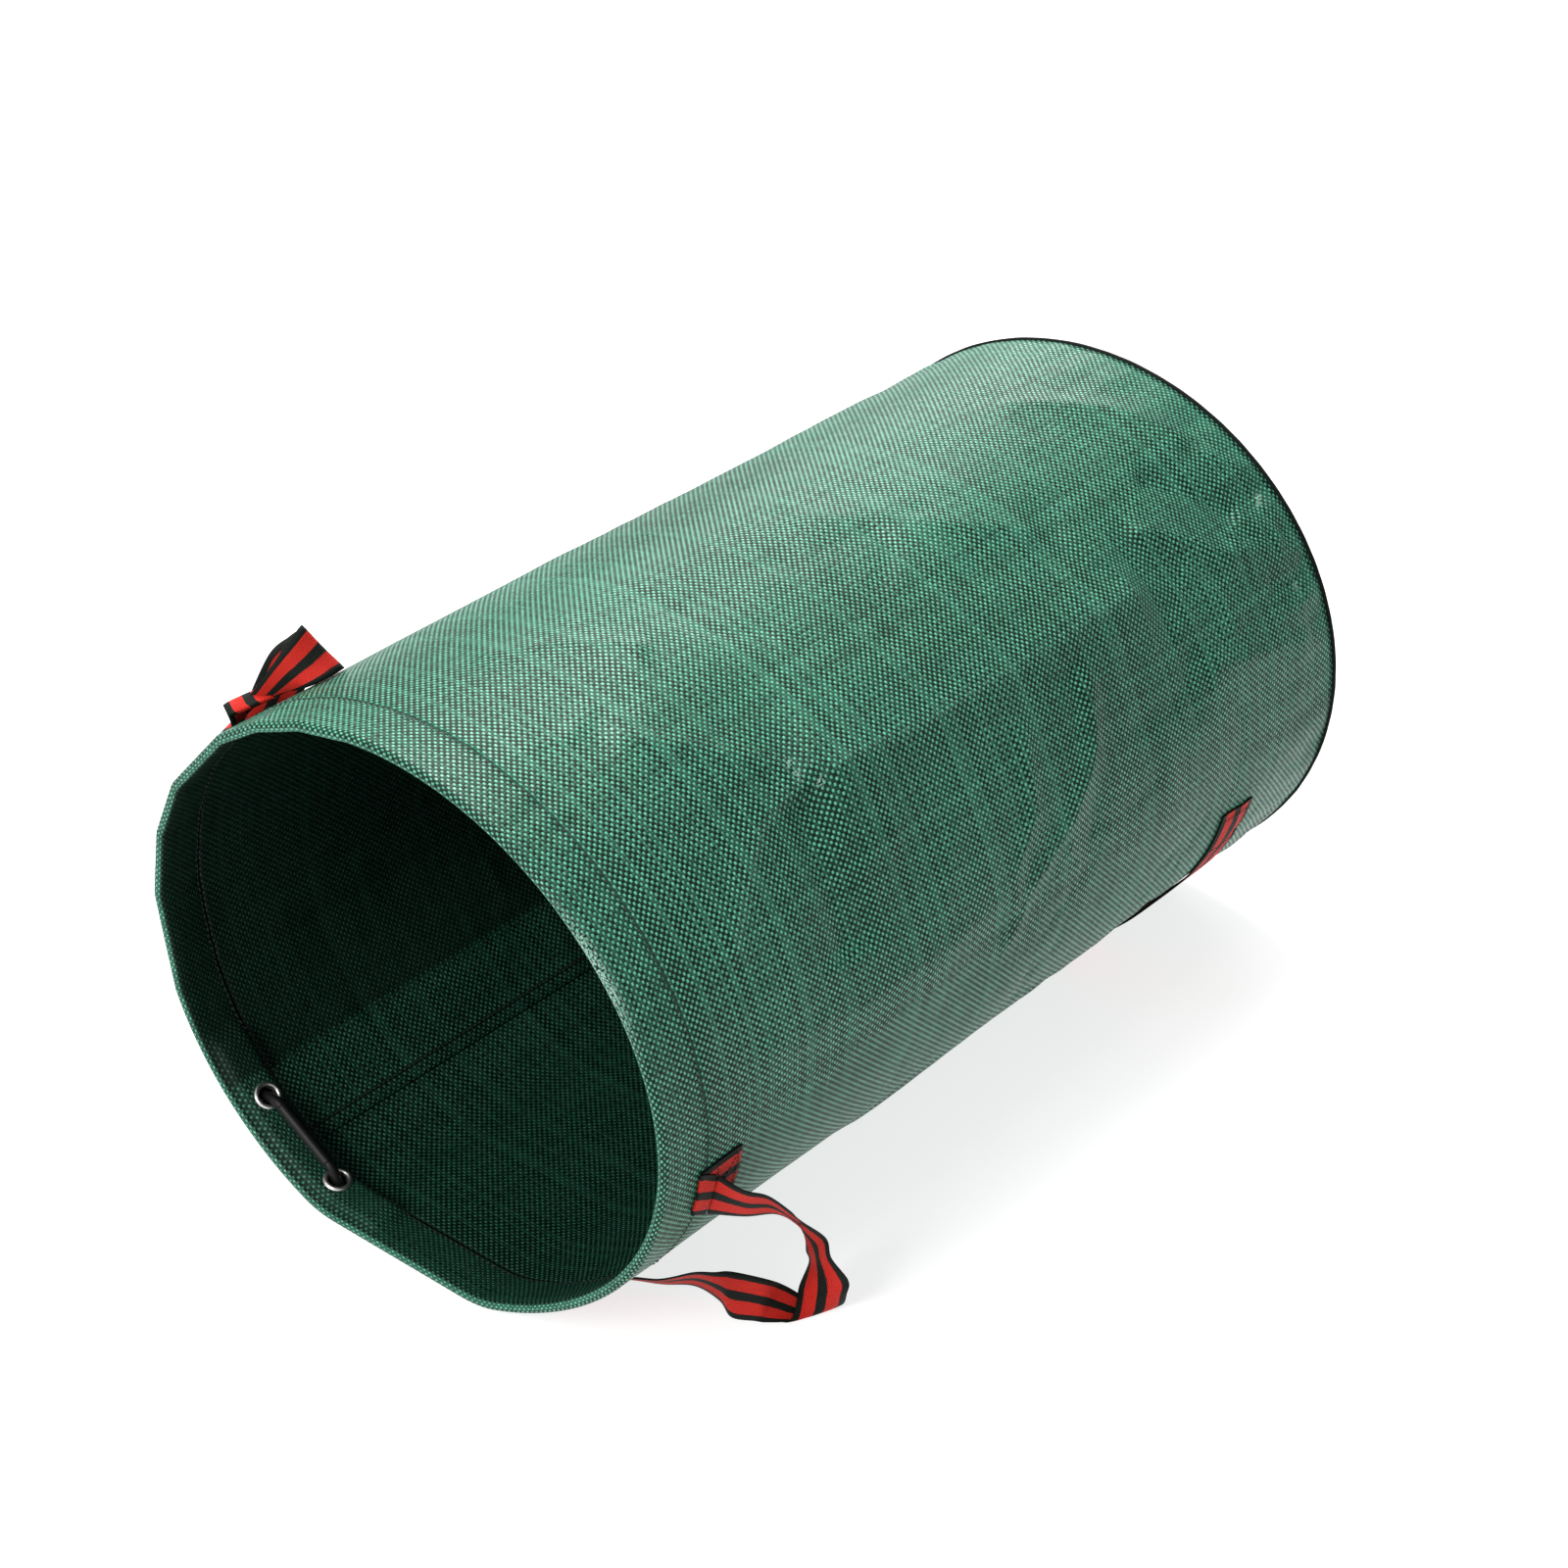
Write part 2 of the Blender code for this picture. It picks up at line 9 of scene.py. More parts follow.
import bpy
import numpy as np
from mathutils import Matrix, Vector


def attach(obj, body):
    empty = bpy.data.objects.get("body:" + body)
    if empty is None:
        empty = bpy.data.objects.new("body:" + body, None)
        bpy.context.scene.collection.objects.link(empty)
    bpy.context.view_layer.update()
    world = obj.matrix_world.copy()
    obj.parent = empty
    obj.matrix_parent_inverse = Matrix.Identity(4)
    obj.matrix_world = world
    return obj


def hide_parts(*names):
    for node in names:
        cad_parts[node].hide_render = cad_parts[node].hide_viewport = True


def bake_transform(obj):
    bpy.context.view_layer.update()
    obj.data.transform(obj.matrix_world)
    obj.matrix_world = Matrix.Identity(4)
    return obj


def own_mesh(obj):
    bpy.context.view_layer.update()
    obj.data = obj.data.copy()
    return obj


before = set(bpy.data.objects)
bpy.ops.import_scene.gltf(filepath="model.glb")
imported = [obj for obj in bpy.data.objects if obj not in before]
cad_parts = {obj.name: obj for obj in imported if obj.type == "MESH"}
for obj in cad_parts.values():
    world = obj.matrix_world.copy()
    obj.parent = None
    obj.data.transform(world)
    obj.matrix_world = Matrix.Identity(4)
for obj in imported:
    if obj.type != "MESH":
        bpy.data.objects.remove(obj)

bl_info = {
    "name": "Garden Waste Bag",
    "version": (1, 0, 0),
    "blender": (4, 5, 0),
    "location": "3D View > Sidebar > Bag",
    "description": "Builds a woven garden waste bag with a hooped mouth and webbing handles",
    "category": "Add Mesh",
}

MM = 1000
QUAD = ((0, 0), (0, 1), (1, 1), (1, 0))

# The lower right of the mouth is drawn in, where the handle pulls on it
DRAWN_IN = 0.06
DRAWN_ANGLE = -57
DRAWN_SPREAD = 40
DRAWN_LEFT_AT_BASE = 0.3
FLOOR_BEND = 0.005

# Hem, hoop and eyelets
GAP = 0.0003
HOOP_DEPTH = 0.0041
HEM_FLAT_START = 0.0095
HEM_FLAT_END = 0.0350
HEM_BACK = 0.0040
HEM_END = 0.0027
HEM_POINTS = 12
HEM_STITCHES_BEFORE = (0.0012, 0.003)
RIM_TURNS_IN = 18
POCKET_INSET = 0.0126
POCKET_FULL = 0.042
POCKET_START = 0.065
SEAM_ANGLE = -125.5
EYELET_TURN = 10.5
EYELET_DEPTH = 0.022
EYELET_HOLE = 0.0070
EYELET_BARREL = 0.0076
EYELET_RADIUS = 0.0105
HEM_HOLE = 0.0082
SLEEVE_RADIUS = 0.0040
SLEEVE_LENGTH = 0.057
RAMP_HALF = 0.0125
CROSSING_INSET = 0.0200
DRIFT_START = 0.055
HOLE_CUTTER_REACH = 0.003
FLANGE_RISE = 0.0016
WASHER_THICK = 0.0008
METAL_SHARP = 40

# Side panel, seam flap and base
PANEL_START = 0.0403
PANEL_END = 0.7550
SIDE_COLUMNS, SIDE_ROWS = 330, 140
FLAP_EDGE_ANGLE = -140.2
FLAP_SEAM_ANGLE = -124.5
FLAP_STITCH_ANGLE = -127.0
FLAP_STITCHED = (0.046, 0.742)
FLAP_STITCH = 0.0042
FLAP_STITCH_INSET = 0.0031
FLAP_START = 0.0405
FLAP_END = 0.745
BINDING_HALF_DEPTH = 0.0026
BINDING_HALF_WIDTH = 0.0033
BINDING_INSET = 0.0017
BINDING_MIDDLE = 0.7573
BASE_INSET = 0.0033
BASE_THICKNESS = 0.002
BASE_STITCHES_BEFORE = 0.0004
BASE_STITCHES_INSET = 0.0026

# Texture places: where they start round the bag, in radians, and along the hem, and where the marks lie
ROUND_START = 4
HEM_PLACE = 1
# A band round the lower inside, from the seam flap's edge round the bottom to near the right, where the lit tapes
# keep their painted light; the rest of the inside is painted in shade.
LIT_BAND_START, LIT_BAND_END = 1.765, 2.28
# Where round the flap the groove of its stitches gets painted shade.
STITCH_GROOVE = 0.4022

# Handles
TAB_START = 0.034
TAB_END = 0.072
LIP = 0.013
LOOP_GAP = 0.001
LOOP_LIFT = 0.0011
RIGHT_ENDS, RIGHT_SLANTS = (-9.5, -60), (-0.7, 0.0)
LEFT_ENDS, LEFT_SLANTS = (147, 181), (0.0, 0.0)
BASE_HANDLE_DEPTH = 0.640
BASE_TAB_UPPER = (-12, -24)
BASE_TAB_LOWER = (-67, -75)
SEWN_GAP = 0.4
TAB_SHARP = 50
TAB_MARGIN = 0.003
TAB_SIDE_MARGIN = 0.0035
BASE_TAB_MARGIN = 0.004
BOX_STITCH = 0.0034

# The base strap's middle line: angle, depth and height over the cloth
BASE_STRAP = (
    (-30.0, 0.641, 0.0013),
    (-35.5, 0.637, 0.0016),
    (-41.0, 0.627, 0.0026),
    (-46.5, 0.614, 0.0046),
    (-52.0, 0.605, 0.0066),
    (-57.5, 0.604, 0.0086),
    (-62.5, 0.618, 0.0098),
)

# Both edges of the loops, in millimetres: x, depth and height
RIGHT_STATIONS = (
    ((250, 57, 159), (240, 70, 126)), ((255, 74, 147), (245, 94, 116)), ((258, 92, 126), (246, 113, 97)),
    ((249, 115, 99), (235, 134, 68)), ((248, 140, 70), (223, 150, 41)), ((251, 142, 54), (224, 152, 31)),
    ((258, 151, 34), (224, 142, 17)), ((256, 153, 21), (226, 137, 8)), ((246, 158, 2), (231, 125, 2)),
    ((231, 147, 5), (227, 119, 2)), ((219, 133, 20), (219, 112, 2)), ((219, 114, 37), (213, 109, 2)),
    ((198, 103, 39), (199, 102, 2)), ((189, 96, 38), (184, 107, 5)), ((178, 88, 37), (164, 105, 8)),
    ((162, 73, 32), (145, 93, 7)), ((147, 60, 33), (123, 76, 10)),
)
LEFT_STATIONS = (
    ((-196, 60, 332), (-216, 57, 299)), ((-205, 79, 334), (-223, 62, 303)), ((-202, 80, 337.6), (-215, 53, 312.6)),
    ((-187, 70, 347), (-202, 43, 323)), ((-170, 61, 358), (-178, 35, 341)), ((-163, 57, 369), (-168, 22, 367)),
    ((-152, 53, 369), (-157, 18, 365)), ((-144, 59, 371), (-163, 33, 364)), ((-131, 63, 376.5), (-153, 53, 389)),
    ((-126, 77, 379.5), (-150, 64, 401)), ((-128, 92, 379.3), (-148, 76, 411)), ((-138, 100, 373.2), (-157, 82, 403)),
    ((-159, 108, 364), (-175, 88, 389)), ((-189, 112, 338), (-203, 92, 364)), ((-216, 109, 294), (-224, 85, 321)),
    ((-239, 99, 248), (-243, 75, 277)), ((-248, 82, 208), (-252, 62, 240)),
)

# Where the handles hold the cloth flat: angle, reach, edge of the reach, share held, depth where it ends and how soon
HELD_PLACES = ((-25, 32, 1.6, 0.85, 0.20, 0.05), (118, 22, 1.8, 0.65, 9, 1), (165, 25, 1.7, 0.85, 0.34, 0.08))

# Studio lights: name, place, target, size in metres and power in watts
SOFTBOXES = (
    ("top_softbox", (-1.0, 0.5, 2.9), (0.0, 0.0, 0.2), 2.0, 150),
    ("back_softbox", (-1.7, 2.2, 1.4), (0.0, 0.0, 0.2), 1.4, 26),
    ("front_softbox", (0.1, -2.8, 1.8), (0.0, -0.2, 0.2), 1.2, 80),
)
SKY_STRENGTH = 0.40
FLOOR_GLOW = 1.9
FLOOR_REACH = 9.0
FLOOR_HEIGHT = -0.0006

# The camera, fitted to the photograph
AZIMUTH, ELEVATION, DISTANCE = 40.4, 30.3, 2.289
TARGET = (0.008, 0.0, 0.215)
LENS = 73

# Corners of the rim on its left, where the hoop is bent
RIM_CORNERS = (96, 107.5, 118.75, 129.75, 149.5, 163, 177.5, 198)

# Folds of the cloth, in millimetres: the crest's height, how far away it has died out, and its angles and depths
NAMED_FOLDS = (
    (12, 86, (45.5, 212), (43, 300), (42, 400), (42, 500), (42, 580)),
    (3, 40, (69, 115), (58, 170), (51, 205), (45, 228)),
    (2, 28, (46, 213), (42, 160), (34, 120), (26, 90)),
    (-6.2, 50, (44, 200), (33, 192), (15, 188)),
    (2.2, 28, (43, 570), (37, 605), (28, 600)),
    (3.4, 18, (34, 400), (18, 385), (12, 360), (2, 350)),
    (3.8, 20, (36, 480), (22, 460), (12, 420), (5, 370), (-6, 340)),
    (4.2, 60, (10, 90), (7, 170), (6, 280), (9, 360)),
    (3.4, 45, (90, 390), (80, 430), (70, 470), (60, 530)),
    (4.4, 36, (90, 630), (74, 690), (60, 715)),
    (6, 30, (52, 595), (45, 640), (38, 670), (36, 740)),
    (2.6, 22, (41, 620), (33, 640), (25, 648)),
    (-6.2, 32, (60, 645), (50, 690), (43, 705)),
    (3.6, 16, (58, 715), (49, 748)),
    (3.6, 36, (22, 600), (19, 660), (16, 730)),
    (-3.6, 18, (40, 690), (36, 725)),
    (-3, 16, (30, 700), (25, 735)),
    (3.6, 40, (98, 120), (90, 160), (78, 200)),
    (-3, 30, (-115, 230), (-96, 183), (-75, 187)),
    (4, 60, (120, 120), (124, 300), (121, 520), (126, 680)),
    (3, 60, (162, 340), (166, 450), (160, 620)),
    (3.4, 55, (-160, 100), (-155, 320), (-162, 580)),
    (2.4, 50, (-35, 220), (-30, 360), (-38, 550)),
    (-2.2, 45, (82, 240), (86, 310), (80, 360)),
)

# Painted glints, pale spots of painted highlight on the cloth: angle, depth, size and how strong
GLINT_SPOTS = (
    (49, 0.209, 0.0022, 0.7), (46.5, 0.211, 0.0026, 0.8), (43.5, 0.221, 0.0024, 0.9), (44, 0.735, 0.0022, 0.9),
    (45, 0.739, 0.0022, 0.9), (43.2, 0.742, 0.0022, 0.8), (30, 0.738, 0.0022, 0.7), (26, 0.728, 0.0022, 0.7),
)


def size(name, description, default):
    """A length that a user can change."""
    return bpy.props.FloatProperty(name=name, description=description, default=default, min=0, unit="LENGTH")


def colour(name, description, *default):
    """A linear colour that a user can change."""
    return bpy.props.FloatVectorProperty(name=name, description=description, default=default, size=3, min=0, max=1,
                                         subtype="COLOR")


class BagSizes(bpy.types.PropertyGroup):
    """Sizes of the bag."""

    length: size("Length", "From the rim of the mouth to the base", 0.76)
    mouth_half_width: size("Mouth half width", "Half of the mouth's width", 0.2385)
    mouth_half_height: size("Mouth half height", "Half of the mouth's height", 0.2135)
    mouth_centre: size("Mouth centre", "Height of the mouth's centre over the floor", 0.195)
    base_half_width: size("Base half width", "Half of the base's width", 0.234)
    base_half_height: size("Base half height", "Half of the base's height", 0.2175)
    base_centre: size("Base centre", "Height of the base's centre over the floor", 0.2115)
    radius: size("Mean radius", "For lengths round the bag", 0.2255)
    cloth: size("Cloth", "Thickness of the cloth", 0.001)
    hem_depth: size("Hem", "From the rim to the hem's line of stitches", 0.040)
    hoop_radius: size("Hoop", "Radius of the hoop's tube", 0.0025)
    webbing: size("Webbing width", "Width of the webbing", 0.038)
    webbing_thick: size("Webbing thickness", "Thickness of the webbing", 0.0015)
    tape: size("Tape", "Width of a woven tape", 0.00252)
    stitch: size("Stitch", "Length of a stitch", 0.0052)
    thread: size("Thread", "Radius of the thread", 0.00045)


class BagColours(bpy.types.PropertyGroup):
    """Colours of the bag and the floor."""

    # The outer pair is a shaded and a lit copy of one green: the deep colour is painted shade in the gaps and on
    # shaded tapes, the light colour is painted highlight on lit tapes.
    cloth: colour("Cloth", "Gaps and shaded tapes outside", 0.001, 0.016, 0.008)
    cloth_light: colour("Lit cloth", "Lit tapes outside", 0.105, 0.430, 0.285)
    # The inside colours are darker copies of the outside ones: painted shade over the inside of the bag.
    cloth_inside: colour("Cloth inside", "Gaps and shaded tapes inside", 0.001, 0.008, 0.004)
    inside_light: colour("Lit cloth inside", "Lit tapes inside", 0.030, 0.150, 0.095)
    # Pale colour of the painted glints: painted highlight on fold crests, the rim and spots near the base.
    glint: colour("Worn cloth", "Creases and rim where the cloth has gone pale", 0.34, 0.52, 0.44)
    red: colour("Stripe", "Stripes of the webbing", 0.60, 0.020, 0.012)
    dark: colour("Ground", "Webbing between and beside its stripes", 0.003, 0.007, 0.004)
    binding: colour("Binding", "Tape round the base", 0.001, 0.004, 0.0025)
    thread: colour("Thread", "All stitches", 0.0006, 0.003, 0.002)
    plastic: colour("Hoop", "Tube and sleeve of the mouth's hoop", 0.004, 0.004, 0.004)
    metal: colour("Eyelets", "Plate of the eyelets and washers", 0.93, 0.92, 0.89)
    floor: colour("Floor", "Floor of the stage", 0.40, 0.40, 0.40)


def sizes():
    return bpy.context.scene.bag_sizes


def colours():
    return bpy.context.scene.bag_colours


def rad(degrees):
    return np.radians(np.asarray(degrees, float))


def smooth(share):
    """0 to 1 with a level start and end."""
    share = np.clip(share, 0, 1)
    return share * share * (3 - 2 * share)


def wrapped(angle):
    """The same angle between -180 and 180 degrees."""
    return (np.asarray(angle, float) + 180) % 360 - 180


def unit(vectors):
    return vectors / np.linalg.norm(vectors, axis=-1, keepdims=True)


def spread(*values):
    """Each of the values over all the combinations of them, the first one's in rows."""
    return np.meshgrid(*values, indexing="ij")


def grid(rows, columns):
    """Pairs of the values given for rows and for columns, one for each point of a surface."""
    return np.stack(spread(rows, columns), -1)


def travelled(steps):
    """How far along a path each of its points is, from the lengths of its steps."""
    return np.concatenate([[0], np.cumsum(steps)])


def path_lengths(path):
    return travelled(np.linalg.norm(np.diff(path, axis=0), axis=1))


def half_sizes(depth):
    """Half width, half height and height of the middle of the bag's section at a depth."""
    s = sizes()
    share = np.clip(np.asarray(depth, float) / s.length, 0, 1)
    return (
        s.mouth_half_width + (s.base_half_width - s.mouth_half_width) * share,
        s.mouth_half_height + (s.base_half_height - s.mouth_half_height) * share,
        s.mouth_centre + (s.base_centre - s.mouth_centre) * share,
    )


def degrees_for(length, depth=EYELET_DEPTH):
    """The angle that a length along the wall takes up."""
    half_width, half_height, _ = half_sizes(depth)
    return np.degrees(length / np.sqrt(half_width * half_height))


def wall(angle, depth, inset=0.0, lift=0.0):
    """An ellipse for each depth, drawn in at one corner, moved along its normal by the lift less the inset.

    Below the floor the height bends into level over a few millimetres, with a square law that leaves it
    unchanged above and flat below.
    """
    angle, depth, inset, lift = np.broadcast_arrays(*(np.asarray(v, float) for v in (angle, depth, inset, lift)))
    half_width, half_height, centre = half_sizes(depth)
    away = wrapped(angle - DRAWN_ANGLE)
    fade = 1 + (DRAWN_LEFT_AT_BASE - 1) * np.clip(depth / sizes().length, 0, 1)
    drawn = 1 - DRAWN_IN * fade * np.exp(-((away / DRAWN_SPREAD) ** 2))
    x = half_width * drawn * np.cos(rad(angle))
    z = half_height * drawn * np.sin(rad(angle))
    nx, nz = x / half_width**2, z / half_height**2
    size = np.hypot(nx, nz)
    shift = inset - lift
    above = centre + z - shift * nz / size - inset
    share = np.clip(0.5 + 0.5 * above / FLOOR_BEND, 0, 1)
    z = inset + above * share + FLOOR_BEND * share * (1 - share)
    return np.stack([x - shift * nx / size, depth - sizes().length / 2, z], -1)


def named_folds():
    """The path of each named fold, its height and its width, in metres."""
    return [([(angle, depth / MM) for angle, depth in path], height / MM, width / MM)
            for height, width, *path in NAMED_FOLDS]


def crease(angle, depth, path, height, width):
    """A crest along a path of angles and depths: its height times the square of what is left of the width.

    It fades towards both ends of the path. A negative height is a valley.
    """
    path = np.asarray(path, float)
    middle = path[:, 0].mean()
    x, y = rad(wrapped(angle - middle)) * sizes().radius, depth
    px, py = rad(path[:, 0] - middle) * sizes().radius, path[:, 1]
    legs = np.hypot(np.diff(px), np.diff(py))
    nearest, share, start = np.full(np.shape(x), np.inf), np.zeros(np.shape(x)), 0.0
    for ax, ay, bx, by, leg in zip(px[:-1], py[:-1], px[1:], py[1:], legs):
        t = np.clip(((x - ax) * (bx - ax) + (y - ay) * (by - ay)) / leg**2, 0, 1)
        away = np.hypot(x - ax - t * (bx - ax), y - ay - t * (by - ay))
        share = np.where(away < nearest, (start + t * leg) / legs.sum(), share)
        nearest = np.minimum(nearest, away)
        start += leg
    ends = np.clip(16 * share * (1 - share), 0, 1)
    return height * ends * np.clip(1 - nearest / width, 0, 1) ** 2


def small_creases(count=150, seed=5):
    """Short creases scattered over the side, in seeded places and directions."""
    rng = np.random.default_rng(seed)
    made = []
    for _ in range(count):
        angle, depth = rng.uniform(-180, 180), rng.uniform(0.06, 0.74)
        heading, length = rng.uniform(0, math.pi), rng.uniform(0.03, 0.13)
        bend = rng.uniform(-0.5, 0.5)
        path = [(angle, depth)]
        for turn in (-bend, bend):
            angle += math.degrees(math.cos(heading + turn) * length / 2 / sizes().radius)
            depth += math.sin(heading + turn) * length / 2
            path.append((angle, depth))
        made.append((path, rng.choice((-1, 1)) * rng.uniform(0.0005, 0.0016), rng.uniform(0.010, 0.022)))
    return made


def waves(angle, depth, count, slow, fast, reach, seed):
    """A sum of seeded cosine waves that close on themselves round the bag."""
    rng = np.random.default_rng(seed)
    total = 0.0
    for _ in range(count):
        turns, along, phase = rng.integers(slow, fast), rng.uniform(-reach, reach), rng.uniform(0, 2 * math.pi)
        total = total + np.cos(turns * rad(angle) + along * depth + phase)
    return total / math.sqrt(count)


def held(angle, depth):
    """How free the cloth is to fold, 0 to 1: held at the hem, the base, the floor, the seam and the loops."""
    free = smooth((depth - 0.02) / 0.08) * smooth((sizes().length - 0.004 - depth) / 0.035)
    free = free * smooth((wall(angle, depth)[..., 2] - 0.004) / 0.030)
    for at, reach, edge, share, until, over in HELD_PLACES:
        near = smooth(edge - np.abs(wrapped(angle - at)) / reach)
        free = free * (1 - share * near * smooth((until - depth) / over))
    return free


def rim_corners(angle):
    """How far each chord between the rim's corners lies inside its arc, as a negative lift."""
    at, total = np.asarray(angle, float) % 360, 0.0
    for first, last in zip(RIM_CORNERS[:-1], RIM_CORNERS[1:]):
        half = (last - first) / 2
        off = np.clip(np.abs(at - (first + last) / 2) / half, 0, 1) * half
        total = total + sizes().radius * (math.cos(math.radians(half)) / np.cos(rad(off)) - 1)
    return total


def folds(angle, depth):
    """How far the cloth stands out: folds, small creases and slow waves where it is free, and seam puckers."""
    angle, depth = np.broadcast_arrays(np.asarray(angle, float), np.asarray(depth, float))
    total = 0.0010 * waves(angle, depth, 12, 2, 12, 45, 3)
    for path, height, width in (*named_folds(), *small_creases()):
        total = total + crease(angle, depth, path, height, width)
    total = total * held(angle, depth)
    near_base = smooth((depth - 0.67) / 0.07) * smooth((0.757 - depth) / 0.012)
    total = total + 0.0013 * near_base * waves(angle, depth, 8, 18, 46, 20, 8)
    near_hem = np.exp(-(((depth - sizes().hem_depth) / 0.012) ** 2))
    away_from_eyelets = smooth(np.abs(wrapped(angle - SEAM_ANGLE)) / 20 - 1)
    off_floor = smooth(wall(angle, depth)[..., 2] / 0.02)
    total = total + 0.00035 * near_hem * waves(angle, depth, 6, 40, 90, 10, 9)
    total = total * np.where(depth < 0.1, away_from_eyelets, 1) * off_floor
    return total + rim_corners(angle) * smooth(1 - depth / 0.07)


def skin(angle, depth, inset=0.0):
    """A point of the folded cloth."""
    return wall(angle, depth, inset, folds(angle, depth))


def mesh_object(name, points, quads, corners, materials, ngons=(), face_slots=None, sharp=180):
    """A named mesh from arrays of points and quads with a texture place for each corner, facing outwards."""
    points, quads = np.asarray(points, float), np.asarray(quads)
    a, b, c, d = (points[quads[:, k]] for k in range(4))
    volume = (np.cross(b - a, c - a) * a).sum() + (np.cross(c - a, d - a) * a).sum()
    if volume < 0:
        quads, corners, ngons = quads[:, ::-1], corners[:, ::-1], [tuple(n[::-1]) for n in ngons]
    mesh = bpy.data.meshes.new(name)
    mesh.from_pydata(points.tolist(), [], quads.tolist() + [list(n) for n in ngons])
    layer = mesh.uv_layers.new(name="UVMap")
    flat = np.zeros((len(mesh.loops), 2), np.float32)
    flat[: quads.size] = corners.reshape(-1, 2)
    layer.data.foreach_set("uv", flat.ravel())
    for material in materials:
        mesh.materials.append(material)
    if face_slots is not None:
        slots = np.zeros(len(mesh.polygons), np.int32)
        slots[: len(face_slots)] = face_slots
        mesh.polygons.foreach_set("material_index", slots)
    mesh.shade_smooth()
    if sharp < 180:
        mesh.set_sharp_from_angle(angle=math.radians(sharp))
    made = bpy.data.objects.new(name, mesh)
    bpy.context.scene.collection.objects.link(made)
    return made


def surface(name, rows, places, materials, round_rows=False, slots=None, sharp=180):
    """A closed surface from rows of points: each row is a loop, and the rows are capped or go round.

    places gives the texture place of each point, with one more row and column where they close. slots gives
    the material of each column.
    """
    rows, places = np.asarray(rows, float), np.asarray(places, float)
    n, m = rows.shape[:2]
    i, j = grid(np.arange(n if round_rows else n - 1), np.arange(m)).reshape(-1, 2).T
    quads = np.stack([(i + di) % n * m + (j + dj) % m for di, dj in QUAD], 1)
    corners = np.stack([places[i + di, j + dj] for di, dj in QUAD], 1)
    ends = [] if round_rows else [tuple(range(m))[::-1], tuple((n - 1) * m + k for k in range(m))]
    face_slots = None if slots is None else np.asarray(slots)[j]
    return mesh_object(name, rows.reshape(-1, 3), quads, corners, materials, ends, face_slots, sharp)


def closed(values):
    """The same rows with the first one again at the end."""
    return np.concatenate([values, values[:1]])


def layers(angles, depths, top, under):
    """Rows of a sheet on the folded wall: along its outer face at one inset, and back along its inner face."""
    a, d = spread(angles, depths)
    lift = folds(a, d)
    return np.concatenate([wall(a, d, top, lift), wall(a, d, under, lift)[:, ::-1]], 1)


def cloth_sheet(name, angles, depths, top, under, materials, all_round=False):
    """A sheet on the wall between two insets, over angles and depths, with its inner face in the second material."""
    angles, depths = np.asarray(angles, float), np.asarray(depths, float)
    rows = layers(angles, depths, top, under)
    along = np.concatenate([depths, depths[::-1], depths[:1]])
    round_ = rad(closed(angles) + 360 * (np.arange(len(angles) + 1) == len(angles)) if all_round else angles)
    places = grid((round_ + ROUND_START) * sizes().radius, along)
    slots = np.arange(2 * len(depths)) >= len(depths)
    return surface(name, rows, places, materials, round_rows=all_round, slots=slots.astype(int))


def tube(name, path, radius, sides, material):
    """A round tube: circles square to the path, of one radius or one for each point."""
    path = np.asarray(path, float)
    ahead = unit(np.gradient(path, axis=0))
    across = unit(np.cross(ahead, (0, 1, 0)))
    up = np.cross(across, ahead)
    turn = rad(np.arange(sides) * 360 / sides)[None, :, None]
    radius = np.broadcast_to(radius, len(path))[:, None, None]
    rows = path[:, None] + radius * (across[:, None] * np.cos(turn) + up[:, None] * np.sin(turn))
    return surface(name, rows, grid(path_lengths(path), np.linspace(0, 1, sides + 1)), [material])


def stitches(name, points, ups, material, length=None, sink=0.45):
    """Thread along a path: each stitch is an arch, a parabola over its length swept by a circle of six sides."""
    length = length or sizes().stitch
    radius = sizes().thread
    points, ups = np.asarray(points, float), np.asarray(ups, float)
    along = path_lengths(points)
    count = max(1, int(along[-1] / length))
    pitch = along[-1] / count
    sides, t = 6, np.linspace(-1, 1, 7)
    at = (np.arange(count)[:, None] + 0.5 + 0.41 * t) * pitch
    line = np.stack([np.interp(at, along, points[:, k]) for k in range(3)], -1)
    up = unit(np.stack([np.interp(at, along, ups[:, k]) for k in range(3)], -1))
    line = line + up * (radius * (1.0 - sink) - 2.2 * radius * t[None, :, None] ** 4)
    ahead = unit(np.gradient(line, axis=1))
    across = unit(np.cross(ahead, up))
    turn = rad(np.arange(sides) * 360 / sides)[:, None]
    ring = across[:, :, None] * np.cos(turn) + up[:, :, None] * np.sin(turn)
    thin = (1 - 0.55 * np.abs(t) ** 5)[None, :, None, None]
    rows = line[:, :, None] + radius * thin * ring
    size, last = sides * len(t), sides * (len(t) - 1)
    k, i, j = (v.ravel() for v in spread(*(np.arange(n) for n in (count, len(t) - 1, sides))))
    quads = np.stack([k * size + (i + di) * sides + (j + dj) % sides for di, dj in QUAD], 1)
    ends = [tuple(range(n * size, n * size + sides))[::-1] for n in range(count)]
    ends += [tuple(range(n * size + last, (n + 1) * size)) for n in range(count)]
    places = np.stack([i / sides, j / sides], -1)[:, None] * np.ones((1, 4, 1))
    return mesh_object(name, rows.reshape(-1, 3), quads, places, [material], ends)


def wall_path(angles, depths, inset=0.0, out=1):
    """Points on the folded cloth and the way out of it there, or into the bag."""
    points = skin(angles, depths, inset)
    ups = skin(angles, depths, inset - 0.001) - points
    return points, unit(ups) * out


